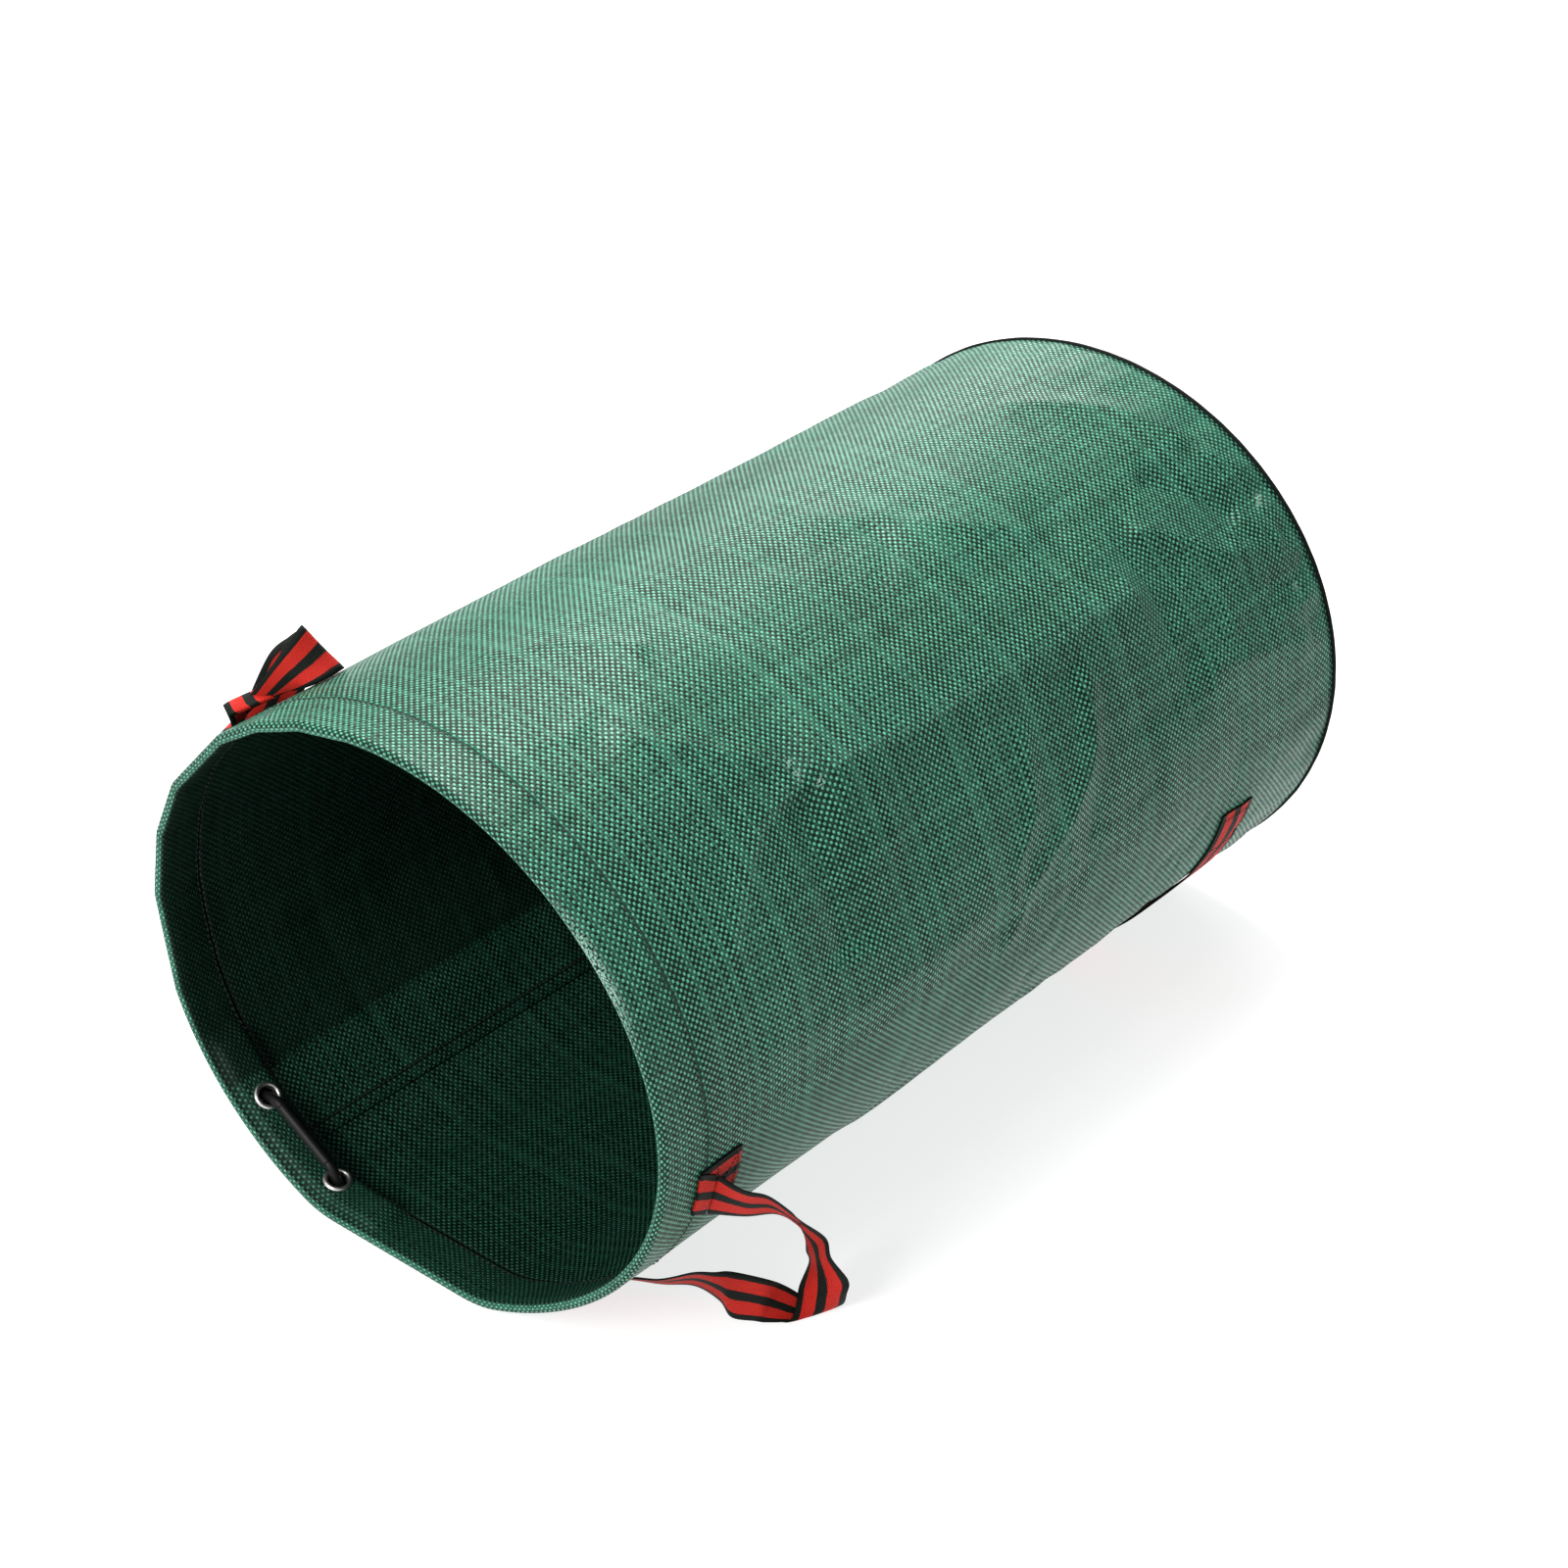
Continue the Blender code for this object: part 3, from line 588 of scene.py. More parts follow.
def curve(points, per_step):
    """A cubic through points whose slope at each is that of its neighbours."""
    points = np.asarray(points, float)
    slopes = np.gradient(points, axis=0)
    t = np.linspace(0, 1, per_step, endpoint=False)[:, None]
    runs = [
        (2 * t**3 - 3 * t**2 + 1) * a + (t**3 - 2 * t**2 + t) * u
        + (3 * t**2 - 2 * t**3) * b + (t**3 - t**2) * v
        for a, b, u, v in zip(points[:-1], points[1:], slopes[:-1], slopes[1:])
    ]
    return np.concatenate([*runs, points[-1:]])


def webbing_places(along, across):
    """Texture places of webbing: across it, there and back over its two faces, and along it."""
    return grid(along, np.concatenate([across, across[::-1], across[:1]]))[..., ::-1]


def strap(name, pairs, material, cup=0.0007):
    """Webbing whose two edges follow curves: straight across but for a shallow arch, and thin at the selvedges.

    Returns it and its length along the middle.
    """
    per_step, across = 12, 10
    pairs = np.asarray(pairs, float)
    left, right = curve(pairs[:, 0], per_step), curve(pairs[:, 1], per_step)
    face = unit(np.cross(right - left, np.gradient(left + right, axis=0)))[:, None]
    t = np.linspace(0, 1, across + 1)
    body = left[:, None] * (1 - t[:, None]) + right[:, None] * t[:, None]
    half = (sizes().webbing_thick / 2 * (1 - 0.5 * np.abs(2 * t - 1) ** 9))[:, None]
    ends = np.minimum(1, np.minimum(np.arange(len(left)), np.arange(len(left))[::-1]) / per_step)
    arch = cup * (1 - (2 * t - 1) ** 2)[None, :, None] * ends[:, None, None]
    rows = np.concatenate([body + face * (arch + half), (body + face * (arch - half))[:, ::-1]], 1)
    along = path_lengths((left + right) / 2)
    made = surface(name, rows, webbing_places(along, t), [material])
    return made, float(along[-1])


class Value:
    """A number in a material. Python's operators on it make Math nodes."""

    def __init__(self, finish, socket):
        self.finish, self.socket = finish, socket

    def math(self, operation, *inputs):
        return self.finish.node("Math", inputs, operation=operation)

    def clamp(self):
        return self.finish.node("Clamp", [self])


def operator(operation, *constants, swapped=False):
    """A method of Value that makes one Math node."""
    def method(self, *others):
        inputs = (self, *others, *constants)
        return self.math(operation, *(inputs[::-1] if swapped else inputs))
    return method


Value.__add__ = Value.__radd__ = operator("ADD")
Value.__sub__, Value.__rsub__ = operator("SUBTRACT"), operator("SUBTRACT", swapped=True)
Value.__mul__ = Value.__rmul__ = operator("MULTIPLY")
Value.__truediv__ = operator("DIVIDE")
Value.__pow__ = operator("POWER")
Value.__gt__ = operator("GREATER_THAN")
Value.__abs__ = operator("ABSOLUTE")
Value.fract, Value.floor = operator("FRACT"), operator("FLOOR")
Value.sin, Value.cos = operator("SINE"), operator("COSINE")
Value.odd = operator("FLOORED_MODULO", 2.0)


class Finish:
    """A material in the making."""

    def __init__(self, name, **constants):
        self.material = bpy.data.materials.new(name)
        self.material.use_nodes = True
        self.tree = self.material.node_tree
        self.shader = self.tree.nodes["Principled BSDF"]
        for key, value in constants.items():
            self.shader.inputs[key.replace("_", " ").title().replace("Ior", "IOR")].default_value = value

    def node(self, kind, inputs=(), output=0, **settings):
        """Any node: its settings first, then its inputs by place or name, each a value or a constant."""
        made = self.tree.nodes.new("ShaderNode" + kind)
        for key, value in settings.items():
            setattr(made, key, value)
        for key, value in inputs.items() if isinstance(inputs, dict) else enumerate(inputs):
            self.feed(made.inputs[key], value)
        return Value(self, made.outputs[output])

    def feed(self, socket, value):
        if isinstance(value, Value):
            self.tree.links.new(value.socket, socket)
        else:
            socket.default_value = value

    def set(self, **values):
        """Links values to the shader's own sockets."""
        for key, value in values.items():
            self.feed(self.shader.inputs[key.replace("_", " ").title()], value)
        return self.material

    def places(self):
        """The two texture coordinates."""
        place = self.node("TexCoord", output=2)
        split = self.node("SeparateXYZ", [place])
        return split, Value(self, split.socket.node.outputs[1]), place

    def mix(self, share, a, b):
        """A colour between two, each a value or three numbers."""
        a, b = ((*c, 1) if not isinstance(c, Value) else c for c in (a, b))
        return self.node("Mix", {0: share, 6: a, 7: b}, output=2, data_type="RGBA")

    def noise(self, place, scale, detail=2.0):
        return self.node("TexNoise", {"Vector": place, "Scale": scale, "Detail": detail})

    def random(self, value, seed):
        """A random number for each whole value."""
        return self.node("TexWhiteNoise", {"W": value + seed}, noise_dimensions="1D")

    def scaled(self, colour, by):
        """A colour times a number."""
        return self.node("VectorMath", {0: colour, "Scale": by}, operation="SCALE")

    def bump(self, height, distance, strength=1.0, normal=None):
        inputs = {"Height": height, "Distance": distance, "Strength": strength}
        if normal:
            inputs["Normal"] = normal
        return self.node("Bump", inputs)


def weave(finish, u, v, pitch):
    """Plain weave of flat tapes: each tape is level across and arched along where it passes over the other.

    Returns the height of the top tape, 1 where a lengthwise tape is on top, the tape's own number and the
    crossing's own number.
    """
    a, b = u / pitch, v / pitch
    warp_on_top = (a.floor() + b.floor()).odd()
    across, along = a.fract() - 0.5, b.fract() - 0.5
    level_a = 1 - (abs(across) * 2) ** 4
    level_b = 1 - (abs(along) * 2) ** 4
    warp = level_a * (along * math.pi).cos()
    weft = level_b * (across * math.pi).cos()
    height = warp * warp_on_top + weft * (1 - warp_on_top)
    tape = finish.random(a.floor(), 3.5) * warp_on_top + finish.random(b.floor(), 91.5) * (1 - warp_on_top)
    crossing = finish.random(a.floor() + b.floor() * 711, 0.5)
    return height, warp_on_top, tape, crossing


def cloth_finish(name, deep, light, roughness, dusty=False, sewn=False):
    """Coated tape cloth: painted shade in the gaps, painted highlight on lit lengthwise tapes, slow patches of dust
    and pale painted glints on creases and the rim.

    Where a lit band is asked for, the lit tapes keep their painted light only on a band round the lower inside
    and are painted in shade elsewhere; where it is sewn, they are dark with painted shade in the groove of the
    stitches.
    """
    f = Finish(name, roughness=roughness, ior=1.22, coat_roughness=0.34, coat_ior=1.45)
    u, v, place = f.places()
    height, warp, tape, crossing = weave(f, u, v, sizes().tape)
    slow = f.noise(place, 7.0, 3.0)
    crumple = f.noise(place, 42.0, 3.0)
    # Painted highlight on the crowns of lengthwise tapes on top and painted shade in the gaps, with random tone from
    # tape to tape and in slow patches.
    dots = height * (warp * 0.92 + 0.08) * (crossing * 0.5 + 0.75)
    lit = (dots * 0.95 + (tape - 0.5) * 0.26 + (slow - 0.5) * 0.25).clamp()
    # Painted light and shade: the lit tapes stay lit only on the band round the lower inside.
    if dusty:
        lit = lit * (((u - LIT_BAND_START) / 0.004 + 0.5).clamp() * ((LIT_BAND_END - u) / 0.16).clamp() * 0.72 + 0.28)
    # Painted shade: the lit tapes go dark in the groove along the flap's stitches.
    if sewn:
        lit = lit * (abs(u - STITCH_GROOVE) / 0.0024).clamp()
    colour = f.mix(lit, deep, light)
    # Painted glints: specks of painted highlight in the pale colour, where the stored glint is strong.
    spots = f.random((u / 0.0011).floor() + (v / 0.0011).floor() * 131, 7) > 0.45
    painted_glint = f.node("Attribute", attribute_name="painted_glint", output=2) * spots
    colour = f.mix(painted_glint.clamp(), colour, colours().glint)
    normal = f.bump(crumple, 0.0045, 0.5)
    normal = f.bump(height * (warp * 0.6 + 0.4), 0.0007, 1.0, normal)
    return f.set(base_color=colour, roughness=roughness + (1 - height) * 0.20 + (slow - 0.5) * 0.12,
                 coat_weight=(dots * 0.8).clamp(), normal=normal)


def webbing_finish():
    """Striped webbing: red stripes on a dark ground, in offset rows of short yarn floats."""
    f = Finish("webbing", ior=1.25)
    u, v, place = f.places()
    side = abs(u - 0.5 + (f.noise(place, 45.0) - 0.5) * 0.06)
    stripe = (side > 0.10) * (1 - (side > 0.37))
    yarn = u * (sizes().webbing / 0.00135)
    row = v / 0.0017 + yarn.floor() * 0.5
    float_ = (row.fract() * math.pi).sin() * (yarn.fract() * math.pi).sin() ** 0.5
    colour = f.mix(stripe, colours().dark, colours().red)
    # Painted shade between the yarn floats and painted highlight on their crowns, over random tone from the noise.
    colour = f.scaled(colour, float_ * 0.55 + 0.55 + (f.noise(place, 60.0) - 0.5) * 0.35)
    normal = f.bump(float_, 0.0004, 0.9)
    return f.set(base_color=colour, roughness=0.70 - 0.14 * float_, normal=normal)


def binding_finish():
    """Black binding tape with fine ribs across it."""
    f = Finish("binding_tape", ior=1.2)
    u, v, place = f.places()
    ribs = (u / 0.0011 * 2 * math.pi).sin() * 0.5 + 0.5
    # Painted shade in the grooves between the ribs, over a random mottle.
    colour = f.scaled(f.mix(f.noise(place, 30.0), colours().binding, colours().thread), ribs * 0.8 + 0.5)
    return f.set(base_color=colour, roughness=0.72 - ribs * 0.1, normal=f.bump(ribs, 0.0002, 0.8))


def thread_finish():
    """Twisted thread with slanting strands."""
    f = Finish("thread")
    u, v, place = f.places()
    strands = ((u * 2 + v * 3) * 2 * math.pi).sin() * 0.5 + 0.5
    # Painted shade in the twist between the strands.
    colour = f.scaled(f.mix(strands, colours().thread, colours().cloth_inside), strands * 0.6 + 0.6)
    return f.set(base_color=colour, roughness=0.6 - strands * 0.15)


def plastic_finish():
    """Black polythene tube: gloss with faint drag lines and dust."""
    f = Finish("hoop_plastic", ior=1.3)
    u, v, place = f.places()
    dust = f.noise(place, 90.0, 4.0)
    colour = f.mix(((dust - 0.55) * 2).clamp(), colours().plastic, (0.014, 0.016, 0.014))
    lines = (v * 40 + dust * 2).sin()
    return f.set(base_color=colour, roughness=0.42 + dust * 0.14, normal=f.bump(lines, 0.00005, 0.5))


def metal_finish():
    """Nickel plate with fine rolled rings and small dents."""
    f = Finish("eyelet_metal", metallic=1.0)
    u, v, place = f.places()
    spots = f.noise(place, 14.0, 4.0)
    colour = f.scaled(f.mix(spots, colours().metal, (0.66, 0.65, 0.62)), 0.95 + spots * 0.1)
    rings = (v * 120 + spots).sin()
    return f.set(base_color=colour, roughness=0.26 + spots * 0.16, normal=f.bump(rings * 0.3 + spots, 0.00008, 0.5))


def floor_finish():
    """A pale, matt floor with a very faint unevenness."""
    f = Finish("floor")
    place = f.node("TexCoord", output=3)
    patches = f.noise(place, 1.5, 3.0)
    tone = f.mix(patches, colours().floor, tuple(c * 0.985 for c in colours().floor))
    f.shader.inputs["Emission Strength"].default_value = FLOOR_GLOW
    return f.set(base_color=tone, emission_color=tone, roughness=0.75 + patches * 0.1)


def shaded_inside_finish(name, **marks):
    """The cloth's inner face, a little rougher, in darker colours that paint shade over the inside of the bag."""
    return cloth_finish(name, colours().cloth_inside, colours().inside_light, 0.42, **marks)


FINISHES = {
    "cloth": lambda: cloth_finish("woven_cloth", colours().cloth, colours().cloth_light, 0.38),
    "inside": lambda: shaded_inside_finish("shaded_woven_cloth_inside", dusty=True),
    "flap": lambda: shaded_inside_finish("shaded_woven_cloth_flap", sewn=True),
    "webbing": webbing_finish,
    "binding": binding_finish,
    "thread": thread_finish,
    "plastic": plastic_finish,
    "metal": metal_finish,
    "floor": floor_finish,
}
_made = {}


def finish(name):
    """The material of that name, made once."""
    if name not in _made:
        _made[name] = FINISHES[name]()
    return _made[name]


def place_on(piece, body, slot, *nodes):
    """Lets a piece ride on a body and hides the CAD nodes that it stands for; its material slot is not used."""
    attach(piece, body)
    if nodes:
        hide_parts(*nodes)
    return piece


def fold_with_panel(piece):
    """Gives a piece its own copy of its mesh."""
    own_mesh(piece)


def store_glints(piece, glint):
    """Stores how strong the painted glint is at each point, for the cloth's material."""
    piece.data.attributes.new("painted_glint", "FLOAT", "POINT").data.foreach_set("value", glint.ravel().astype(np.float32))


def mark_glints(piece, angles, depths):
    """Paints glints, painted highlight, on the side's outer face: most on the named folds' crests and junctions."""
    a, d = spread(angles, depths)
    glint = np.zeros(a.shape)
    for path, _, _ in named_folds()[:3]:
        glint = np.maximum(glint, 0.10 * crease(a, d, path, 1.0, 0.006))
    for angle, depth, size, amount in GLINT_SPOTS:
        away = np.hypot(rad(wrapped(a - angle)) * sizes().radius, d - depth)
        glint = np.maximum(glint, amount * np.exp(-((away / size) ** 2)))
    store_glints(piece, np.concatenate([glint, np.zeros(glint.shape)], 1))


class BAG_OT_side(bpy.types.Operator):
    """Side panel of woven cloth, its lapped seam inside and the stitches through both"""

    bl_idname = "bag.side"
    bl_label = "Side panel and seam"

    def execute(self, context):
        s = sizes()
        cloth = [finish("cloth"), finish("inside")]
        angles = np.arange(SIDE_COLUMNS) * 360 / SIDE_COLUMNS
        depths = np.linspace(PANEL_START, PANEL_END, SIDE_ROWS)
        side = cloth_sheet("side_cloth", angles, depths, 0.0, s.cloth, cloth, all_round=True)
        mark_glints(side, angles, depths)
        place_on(side, "bag", "woven_cloth", "side_panel")
        fold_with_panel(side)
        self.flap()
        depths = np.linspace(*FLAP_STITCHED, 300)
        for name, inset, out in (("seam_stitches_outside", 0.0, 1), ("seam_stitches_inside", FLAP_STITCH_INSET, -1)):
            points, ups = wall_path(FLAP_STITCH_ANGLE, depths, inset, out)
            line = stitches(name, points, ups, finish("thread"), length=FLAP_STITCH, sink=0.2)
            place_on(line, "bag", "woven_cloth")
            fold_with_panel(line)
        return {"FINISHED"}

    def flap(self):
        """The lap stands off the wall more towards its free edge, which waves a little."""
        s = sizes()
        angles = np.linspace(FLAP_EDGE_ANGLE, FLAP_SEAM_ANGLE, 24)
        depths = np.linspace(FLAP_START, FLAP_END, 150)
        a, d = spread(angles, depths)
        loose = np.clip((FLAP_STITCH_ANGLE - a) / (FLAP_STITCH_ANGLE - FLAP_EDGE_ANGLE), 0, 1) ** 1.5
        off = loose * (0.0016 + 0.0009 * waves(a, d, 5, 1, 2, 60, 4))
        first = s.cloth + 2 * GAP
        flap = cloth_sheet("seam_flap_cloth", angles, depths, first + off, first + s.cloth + off,
                           [finish("flap"), finish("flap")])
        place_on(flap, "bag", "woven_cloth", "side_seam_flap")
        fold_with_panel(flap)


class BAG_OT_base(bpy.types.Operator):
    """Base panel, the binding round its seam and the stitches in the binding"""

    bl_idname = "bag.base"
    bl_label = "Base and binding"

    def execute(self, context):
        angles = np.arange(240) * 1.5
        self.panel(angles)
        self.binding(angles)
        return {"FINISHED"}

    def panel(self, angles):
        """Spokes from the centre to the seam: dished a little towards the edge, with waves and puckers."""
        s = sizes()
        edge = wall(angles, s.length, BASE_INSET)
        centre = np.array([0, edge[0, 1], s.base_centre])
        shares = np.concatenate([[0.0002], np.linspace(0.02, 1, 60)])
        spokes = centre + (edge - centre) * shares[:, None, None]
        a, r = np.meshgrid(angles, shares)
        dish = -0.0030 * smooth((1 - r) / 0.25)
        dish = dish + 0.0006 * waves(a, r, 8, 3, 16, 30, 12) * smooth(r * 3) * smooth((1 - r) / 0.1)
        pucker = -0.0005 * (1 + waves(a, r, 6, 26, 60, 20, 13)) * smooth((r - 0.82) / 0.12) * smooth((1 - r) / 0.02)
        spokes[..., 1] += np.minimum(dish + pucker, 0)
        back = spokes.copy()
        back[..., 1] -= BASE_THICKNESS / 2
        rows = np.concatenate([spokes, back[::-1]]).transpose(1, 0, 2)
        flat = rows[..., [0, 2]] + 1.0
        places = closed(np.concatenate([flat, flat[:, :1]], 1))
        slots = (np.arange(rows.shape[1]) >= len(shares)).astype(int)
        base = surface("base_cloth", rows, places, [finish("cloth"), finish("inside")], round_rows=True, slots=slots)
        place_on(base, "bag", "woven_cloth", "base_panel")

    def binding(self, angles):
        """A flat ellipse swept round the seam, of a slightly uneven width, and its stitches."""
        s = sizes()
        turns = rad(np.arange(12) * 30)
        a, t = spread(angles, turns)
        uneven = 1 + 0.03 * waves(a, t, 5, 20, 70, 1, 15)
        inset = BINDING_INSET + BINDING_HALF_WIDTH * uneven * np.sin(t)
        rows = wall(a, BINDING_MIDDLE + BINDING_HALF_DEPTH * np.cos(t), np.maximum(inset, 0), np.maximum(-inset, 0))
        round_ = rad(np.append(angles, 360)) * s.radius
        places = grid(round_, np.linspace(0, 1, 13))
        binding = surface("base_binding_tape", rows, places, [finish("binding")], round_rows=True)
        place_on(binding, "bag", "seam_binding", "base_binding")
        angles = np.linspace(0, 360, 500)
        points = wall(angles, s.length - BASE_STITCHES_BEFORE, BASE_STITCHES_INSET)
        line = stitches("base_stitches", points, np.broadcast_to((0.0, 1.0, 0.0), points.shape), finish("thread"))
        place_on(line, "bag", "seam_binding")


def pocket(angle):
    """How far the hem is opened to its pocket at an angle, 0 to 1, near the eyelets."""
    turn = np.abs(wrapped(angle - SEAM_ANGLE)) - EYELET_TURN
    return 1 - smooth((turn - degrees_for(POCKET_FULL)) / degrees_for(POCKET_START - POCKET_FULL))


def hem_profile(angle):
    """Depths and insets round the hem's section: outer layer, rim round the hoop, inner layer, and back."""
    s = sizes()
    thick = 2 * s.cloth + 2 * s.hoop_radius + 2 * GAP
    radius, opened = thick / 2, pocket(angle)
    near = thick + (POCKET_INSET - thick) * opened
    far = HEM_BACK + (POCKET_INSET - HEM_BACK) * opened
    bends = rad(np.linspace(-90, 90, 11))
    inner = radius - s.cloth
    flats = np.array([(radius, thick), (HEM_FLAT_START, near), (HEM_FLAT_END, far), (s.hem_depth, HEM_END)])
    deep = np.linspace(radius, s.hem_depth, HEM_POINTS)[1:]
    lining = np.interp(deep, flats[:, 0], flats[:, 1])
    lining[1:-1] = (lining[:-2] + 2 * lining[1:-1] + lining[2:]) / 4
    outer = [(d, 0.0) for d in np.linspace(s.hem_depth, radius, HEM_POINTS)[:-1]]
    rim = [(radius - radius * math.cos(b), radius + radius * math.sin(b)) for b in bends]
    back = [(radius - inner * math.cos(b), radius + inner * math.sin(b)) for b in bends[::-1]]
    front = [*outer, *rim, *zip(deep, lining)]
    behind = [*zip(deep[::-1], lining[::-1] - s.cloth), *back, *((d, s.cloth) for d, _ in outer[::-1])]
    return np.array(front + behind), len(front)


def hoop_point(angle):
    """A point of the hoop: in the rim, or coming out of an eyelet on a cosine ramp, or straight across."""
    s = sizes()
    away = np.abs(wrapped(angle - SEAM_ANGLE))
    along = (EYELET_TURN - away) / degrees_for(1.0)
    in_rim = s.cloth + GAP + s.hoop_radius
    risen = (1 - np.cos(math.pi * np.clip((along / RAMP_HALF + 1) / 2, 0, 1))) / 2
    inset = in_rim + (CROSSING_INSET - in_rim) * risen
    straight_from = EYELET_TURN - RAMP_HALF * degrees_for(1.0)
    chord = s.mouth_half_height * (np.cos(rad(away)) - math.cos(rad(straight_from)))
    inset = inset + np.where(away < straight_from, chord, 0)
    depth = HOOP_DEPTH + (EYELET_DEPTH - HOOP_DEPTH) * smooth((along + DRIFT_START) / (DRIFT_START - RAMP_HALF))
    return skin(angle, depth, inset)


def eyelet_seat(angle):
    """An eyelet's middle on the hem's inner layer, its way round, its way in, and the layer's two faces."""
    near = angle + np.linspace(-1, 1, 9) * degrees_for(EYELET_RADIUS)
    face = wall(near, EYELET_DEPTH, POCKET_INSET)
    back = wall(near, EYELET_DEPTH, POCKET_INSET - sizes().cloth)
    seat = (face[0] + face[-1]) / 2
    round_ = unit(face[-1] - face[0])
    inward = np.cross(round_, (0, 1, 0))
    return seat, round_, inward, ((face - seat) @ inward).max(), ((back - seat) @ inward).min()


def turned(name, place, profile, steps=64):
    """A closed profile of radius and height, turned about the eyelet's middle."""
    seat, round_, inward = place
    turns = rad(np.arange(steps) * 360 / steps)
    spokes = np.cos(turns)[:, None] * round_ + np.sin(turns)[:, None] * np.array([0, 1, 0])
    profile = np.asarray(profile, float)
    rows = seat + spokes[:, None] * profile[None, :, :1] + inward * profile[None, :, 1:]
    places = grid(np.linspace(0, 1, steps + 1), np.linspace(0, 1, len(profile) + 1))
    return surface(name, rows, places, [finish("metal")], round_rows=True, sharp=METAL_SHARP)


class BAG_OT_mouth(bpy.types.Operator):
    """Hem turned in round the hoop, the eyelets in it, the hoop and its joining sleeve"""

    bl_idname = "bag.mouth"
    bl_label = "Mouth"

    def execute(self, context):
        s = sizes()
        hem = self.hem()
        for name, side in (("upper", -1), ("lower", 1)):
            self.eyelet(name, SEAM_ANGLE + side * EYELET_TURN, hem)
        self.hoop()
        angles = np.linspace(0, 360, 700)
        outside, inside = (s.hem_depth - before for before in HEM_STITCHES_BEFORE)
        lining = np.array([np.interp(inside, *self.lining(a)) for a in angles])
        for name, depth, inset, out in (("outside", outside, 0.0, 1), ("inside", inside, lining, -1)):
            points, ups = wall_path(angles, depth, inset, out)
            line = stitches(f"hem_stitches_{name}", points, ups, finish("thread"))
            place_on(line, "mouth_ring", "woven_cloth")
        return {"FINISHED"}

    def lining(self, angle):
        """Depths and insets of the hem's inner layer."""
        profile, front = hem_profile(angle)
        return profile[front - HEM_POINTS + 1:front].T

    def hem(self):
        angles = np.arange(360.0)
        profiles = np.array([hem_profile(a)[0] for a in angles])
        d, inset = profiles[..., 0], profiles[..., 1]
        a = np.broadcast_to(angles[:, None], d.shape)
        rows = wall(a, d, inset, folds(a, d))
        along = travelled(np.abs(np.diff(profiles[0], axis=0)).sum(1))
        round_ = (rad(np.append(angles, 360)) + ROUND_START) * sizes().radius
        places = grid(round_, np.append(along, along[0]) + HEM_PLACE)
        slots = (np.arange(d.shape[1]) > RIM_TURNS_IN).astype(int)
        hem = surface("hem_cloth", rows, places, [finish("cloth"), finish("inside")], round_rows=True, slots=slots)
        # Painted highlight along the rim where its fold catches the light, strongest near 37 degrees.
        glint = 0.8 * np.exp(-((wrapped(a - 37) / 9) ** 2)) * smooth(1 - d / 0.006)
        store_glints(hem, glint)
        return place_on(hem, "mouth_ring", "woven_cloth", "mouth_hem")

    def eyelet(self, name, angle, hem):
        """A rolled flange, a barrel through the hem's inner layer and a flat washer behind, with the hole for it."""
        seat, round_, inward, face, back = eyelet_seat(angle)
        place = (seat, round_, inward)
        low, high = back - HOLE_CUTTER_REACH, face + HOLE_CUTTER_REACH
        cutter = turned("cutter", place, [(0.0001, low), (HEM_HOLE, low), (HEM_HOLE, high), (0.0001, high)], 32)
        cut = hem.modifiers.new(name, "BOOLEAN")
        cut.object = cutter
        cut.operation = "DIFFERENCE"
        bpy.context.view_layer.update()
        cut_mesh = bpy.data.meshes.new_from_object(hem.evaluated_get(bpy.context.evaluated_depsgraph_get()))
        hem.modifiers.clear()
        hem.data = cut_mesh
        bpy.data.objects.remove(cutter)
        under = face + GAP
        tail = back - GAP - 0.0012
        middle, half = (EYELET_HOLE + EYELET_RADIUS) / 2, (EYELET_RADIUS - EYELET_HOLE) / 2
        flange = [(middle + half * math.cos(r), under + 0.0002 + FLANGE_RISE * math.sin(r))
                  for r in rad(np.linspace(0, 180, 13))]
        shell = [(EYELET_BARREL, tail), (EYELET_BARREL, under), (EYELET_RADIUS, under), *flange, (EYELET_HOLE, tail)]
        bore, top = EYELET_BARREL + 0.0002, tail + WASHER_THICK
        washer = [(bore, tail), (EYELET_RADIUS, tail), (EYELET_RADIUS, tail + 0.0003),
                  (EYELET_RADIUS - 0.0008, top), (bore, top)]
        for part, node, profile in (("eyelet", "eyelet", shell), ("washer", "eyelet_washer", washer)):
            made = turned(f"{name}_{part}_ring", place, profile)
            place_on(made, "mouth_ring", "eyelet_metal", f"{name}_{node}")

    def hoop(self):
        s = sizes()
        half_gap = degrees_for(0.0005)
        steps = np.linspace(0, 1, 720)
        angles = SEAM_ANGLE + half_gap + (360 - 2 * half_gap) * steps
        shown = smooth((EYELET_TURN + 1.0 - np.abs(wrapped(angles - SEAM_ANGLE))) / 1.5)
        radius = s.hoop_radius + (SLEEVE_RADIUS - 0.0002 - s.hoop_radius) * shown
        hoop = tube("hoop_tube", hoop_point(angles), radius, 16, finish("plastic"))
        place_on(hoop, "mouth_ring", "hoop_tube", "mouth_hoop")
        reach = degrees_for(SLEEVE_LENGTH / 2)
        line = hoop_point(np.linspace(SEAM_ANGLE - reach, SEAM_ANGLE + reach, 41))
        ends = np.abs(np.linspace(-1, 1, 41))
        radius = SLEEVE_RADIUS * (1 - 0.04 * smooth((ends - 0.94) / 0.06))
        sleeve = tube("hoop_sleeve_tube", line, radius, 28, finish("plastic"))
        place_on(sleeve, "mouth_ring", "hoop_tube", "hoop_sleeve")


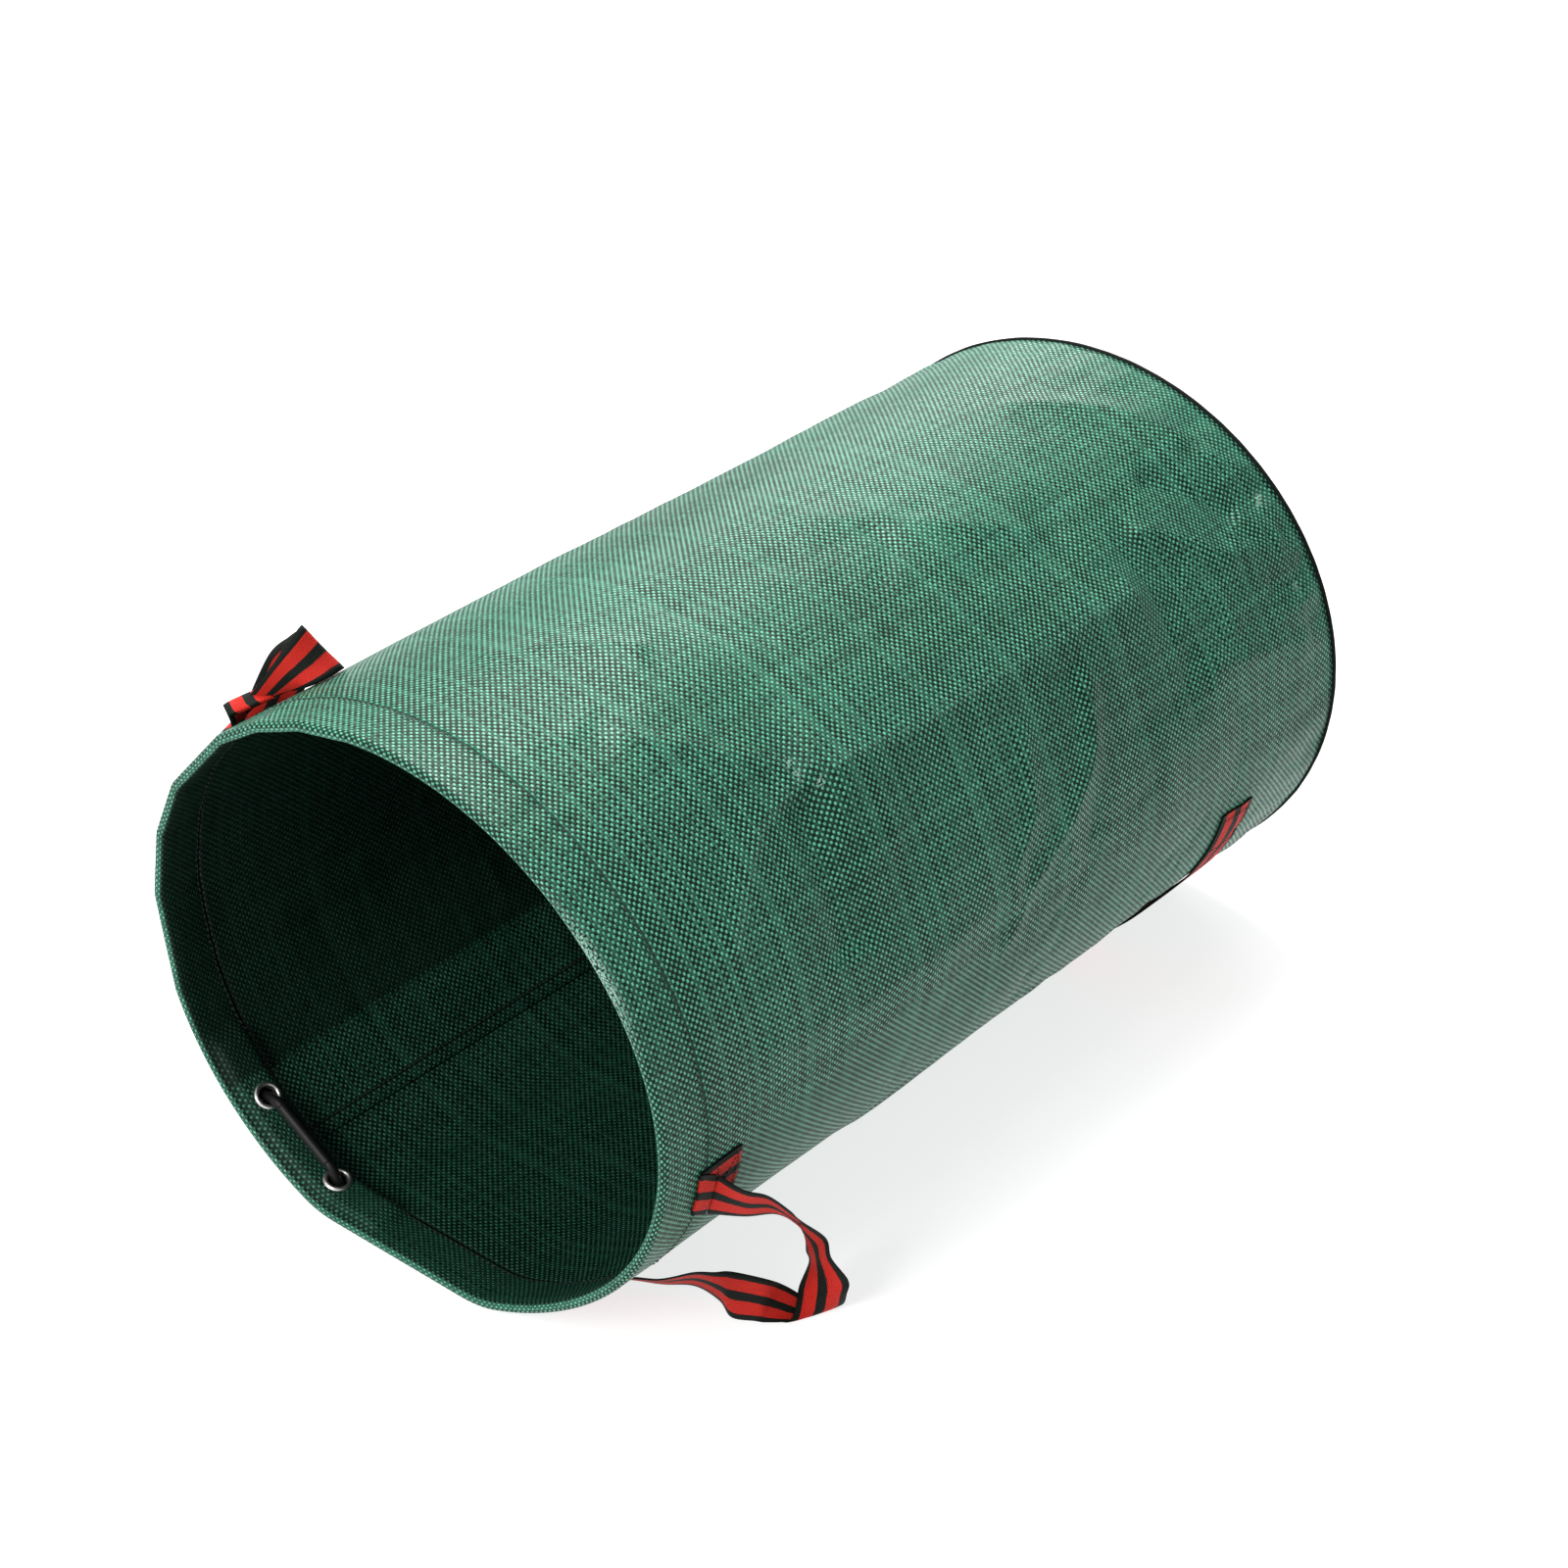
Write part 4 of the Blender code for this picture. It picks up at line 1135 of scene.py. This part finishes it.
def strap_along(stations):
    """The edges of webbing whose middle line lies along the cloth through angles, depths and outsets."""
    angles, depths, outsets = np.transpose(stations)
    per_degree = 1 / degrees_for(1.0, BASE_HANDLE_DEPTH)
    ahead = np.stack([np.gradient(angles) * per_degree, np.gradient(depths)])
    ahead[1, [0, -1]] = 0
    ahead /= np.linalg.norm(ahead, axis=0)
    half = sizes().webbing / 2
    turn, rise = -ahead[1] * half / per_degree, ahead[0] * half
    return np.stack([skin(angles + k * turn, depths + k * rise, -outsets) for k in (1, -1)], 1)


def folded_tab(name, angle, slant):
    """A sewn end whose webbing is folded back over itself at the edge of the hem, a little askew."""
    s = sizes()
    low, high = GAP, GAP + s.webbing_thick
    back = high + GAP
    top = back + s.webbing_thick
    bend = (low + top) / 2
    tip = TAB_START + LIP
    turn = float(degrees_for(LIP * slant))
    section = [(d, low, 0) for d in np.linspace(TAB_END, TAB_START, 9)]
    section += [(TAB_START - bend * math.cos(t), bend + (bend - low) * math.sin(t), 0)
                for t in rad(np.linspace(-75, 75, 9))]
    section += [(TAB_START + LIP * k, top, turn * k) for k in np.linspace(0, 1, 5)]
    section += [(TAB_START + LIP * k, back, turn * k) for k in np.linspace(1, 0, 5)]
    section += [(d, high, 0) for d in np.linspace(TAB_START, TAB_END, 9)]
    depths, outsets, turns = np.transpose(section)
    half = degrees_for(s.webbing / 2)
    across = np.linspace(angle - half, angle + half, 17)
    rows = np.array([skin(a + turns, depths, -outsets) for a in across])
    along = travelled(np.abs(np.diff(depths)) + np.abs(np.diff(outsets)))
    return surface(name, rows, grid(np.linspace(0, 1, 17), np.append(along, 0)), [finish("webbing")], sharp=TAB_SHARP)


def tab_stitches(name, corners, outset, body):
    """Stitches on a sewn end, along a path of corners in angles and depths."""
    angles, depths = (np.concatenate([np.linspace(a, b, 30) for a, b in zip(v[:-1], v[1:])])
                      for v in np.transpose(corners))
    points, ups = wall_path(angles, depths, -outset)
    place_on(stitches(name, points, ups, finish("thread"), length=BOX_STITCH), body, "webbing")


def mouth_handle(side, ends, slants, stations):
    """Two sewn ends of webbing and the free loop between them, whose edges pass through the stations."""
    s = sizes()
    pairs = []
    half, sewn = degrees_for(s.webbing / 2), degrees_for(s.webbing / 2 - TAB_SIDE_MARGIN)
    for end, angle, slant in zip("ab", ends, slants):
        tab = folded_tab(f"{side}_strap_end_{end}", angle, slant)
        place_on(tab, "mouth_ring", "webbing", f"{side}_handle_end_{end}")
        low, high, near, far = angle - sewn, angle + sewn, TAB_START + LIP + TAB_MARGIN, TAB_END - TAB_MARGIN
        box = [(low, near), (high, near), (high, far), (low, far), (low, near), (high, far)]
        tab_stitches(f"{side}_end_stitches_{end}", box, GAP + s.webbing_thick, "mouth_ring")
        start = angle + degrees_for(LIP * slant)
        lying = 2 * GAP + 1.5 * s.webbing_thick + LOOP_LIFT
        pairs.append([skin(start + k * half, TAB_START + LIP + LOOP_GAP, -lying) for k in (1, -1)])
    first, last = pairs
    if side == "left":
        first = first[::-1]
    edges = np.array(stations) / MM - (0, s.length / 2, 0)
    loop, length = strap(f"{side}_strap", [first, *edges, last], finish("webbing"))
    place_on(loop, f"{side}_handle", "webbing", f"{side}_handle_loop")


class BAG_OT_handles(bpy.types.Operator):
    """Right, left and base handles of striped webbing"""

    bl_idname = "bag.handles"
    bl_label = "Handles"

    def execute(self, context):
        mouth_handle("right", RIGHT_ENDS, RIGHT_SLANTS, RIGHT_STATIONS)
        mouth_handle("left", LEFT_ENDS, LEFT_SLANTS, LEFT_STATIONS)
        self.base_handle()
        return {"FINISHED"}

    def base_handle(self):
        """Two flat sewn ends on the side and a strap drawn tight between them."""
        s = sizes()
        near, far = BASE_HANDLE_DEPTH - s.webbing / 2, BASE_HANDLE_DEPTH + s.webbing / 2
        depths = np.linspace(near, far, 13)
        for end, span in (("a", BASE_TAB_UPPER), ("b", BASE_TAB_LOWER)):
            angles = np.linspace(*span, 15)
            rows = layers(angles, depths, -GAP - s.webbing_thick, -GAP)
            places = webbing_places(rad(np.abs(angles - angles[0])) * s.radius, np.linspace(0, 1, 13))
            tab = surface(f"base_strap_end_{end}", rows, places, [finish("webbing")], sharp=TAB_SHARP)
            place_on(tab, "base_handle_ends", "webbing", f"base_handle_end_{end}")
            first, last = span[0] * 0.85 + span[1] * 0.15, span[0] * 0.15 + span[1] * 0.85
            low, high = near + BASE_TAB_MARGIN, far - BASE_TAB_MARGIN
            box = [(first, low), (last, low), (last, high), (first, high), (first, low)]
            tab_stitches(f"base_end_stitches_{end}", box, GAP + s.webbing_thick, "base_handle_ends")
        rest = GAP + s.webbing_thick / 2
        upper = (BASE_TAB_UPPER[1] - SEWN_GAP, BASE_HANDLE_DEPTH, rest)
        lower = (BASE_TAB_LOWER[0] + SEWN_GAP, BASE_HANDLE_DEPTH, rest)
        loop, length = strap("base_strap", strap_along([upper, *BASE_STRAP, lower]), finish("webbing"), cup=0.0)
        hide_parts("base_handle_loop")
        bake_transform(loop)


class BAG_OT_stage(bpy.types.Operator):
    """Pale floor, soft studio light and the camera"""

    bl_idname = "bag.stage"
    bl_label = "Stage"

    def execute(self, context):
        scene = context.scene
        mesh = bpy.data.meshes.new("floor")
        steps = 13
        line = np.linspace(-FLOOR_REACH, FLOOR_REACH, steps)
        level = grid(line, line).reshape(-1, 2)
        points = np.column_stack([level, np.full(len(level), FLOOR_HEIGHT)])
        faces = [(i * steps + j, (i + 1) * steps + j, (i + 1) * steps + j + 1, i * steps + j + 1)
                 for i in range(steps - 1) for j in range(steps - 1)]
        mesh.from_pydata(points.tolist(), [], faces)
        mesh.materials.append(finish("floor"))
        floor = bpy.data.objects.new("floor", mesh)
        scene.collection.objects.link(floor)
        world = bpy.data.worlds.new("studio")
        world.use_nodes = True
        sky = world.node_tree.nodes["Background"].inputs
        sky["Color"].default_value, sky["Strength"].default_value = (1, 1, 1, 1), SKY_STRENGTH
        scene.world = world
        for light in SOFTBOXES:
            self.softbox(*light)
        scene.view_settings.view_transform = "Standard"
        scene.view_settings.look = "None"
        azimuth, elevation = math.radians(AZIMUTH), math.radians(ELEVATION)
        level = math.cos(elevation)
        back = (math.sin(azimuth) * level, -math.cos(azimuth) * level, math.sin(elevation))
        camera = bpy.data.objects.new("camera", bpy.data.cameras.new("camera"))
        camera.data.lens = LENS
        camera.data.sensor_width = 36
        camera.location = [t + DISTANCE * b for t, b in zip(TARGET, back)]
        camera.rotation_euler = (math.pi / 2 - elevation, 0, azimuth)
        scene.collection.objects.link(camera)
        scene.camera = camera
        return {"FINISHED"}

    def softbox(self, name, place, target, size, power):
        light = bpy.data.lights.new(name, "AREA")
        light.shape = "SQUARE"
        light.size = size
        light.energy = power
        made = bpy.data.objects.new(name, light)
        made.location = place
        way = Vector(target) - Vector(place)
        made.rotation_euler = way.to_track_quat("-Z", "Y").to_euler()
        bpy.context.scene.collection.objects.link(made)


class BAG_PT_panel(bpy.types.Panel):
    """Sizes, colours and the steps that build the bag"""

    bl_idname = "BAG_PT_panel"
    bl_label = "Garden Waste Bag"
    bl_space_type = "VIEW_3D"
    bl_region_type = "UI"
    bl_category = "Bag"

    def draw(self, context):
        for group in (context.scene.bag_sizes, context.scene.bag_colours):
            for key in group.bl_rna.properties.keys():
                if key not in ("rna_type", "name"):
                    self.layout.prop(group, key)
        for step in STEPS:
            self.layout.operator(step.bl_idname)


STEPS = (BAG_OT_stage, BAG_OT_side, BAG_OT_base, BAG_OT_mouth, BAG_OT_handles)
CLASSES = (BagSizes, BagColours, *STEPS, BAG_PT_panel)


def register():
    for cls in CLASSES:
        bpy.utils.register_class(cls)
    bpy.types.Scene.bag_sizes = bpy.props.PointerProperty(type=BagSizes)
    bpy.types.Scene.bag_colours = bpy.props.PointerProperty(type=BagColours)


def unregister():
    del bpy.types.Scene.bag_colours
    del bpy.types.Scene.bag_sizes
    for cls in reversed(CLASSES):
        bpy.utils.unregister_class(cls)


def main():
    register()
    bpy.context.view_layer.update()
    bpy.ops.bag.stage()
    bpy.ops.bag.side()
    bpy.ops.bag.base()
    bpy.ops.bag.mouth()
    bpy.ops.bag.handles()


if __name__ == "__main__":
    main()
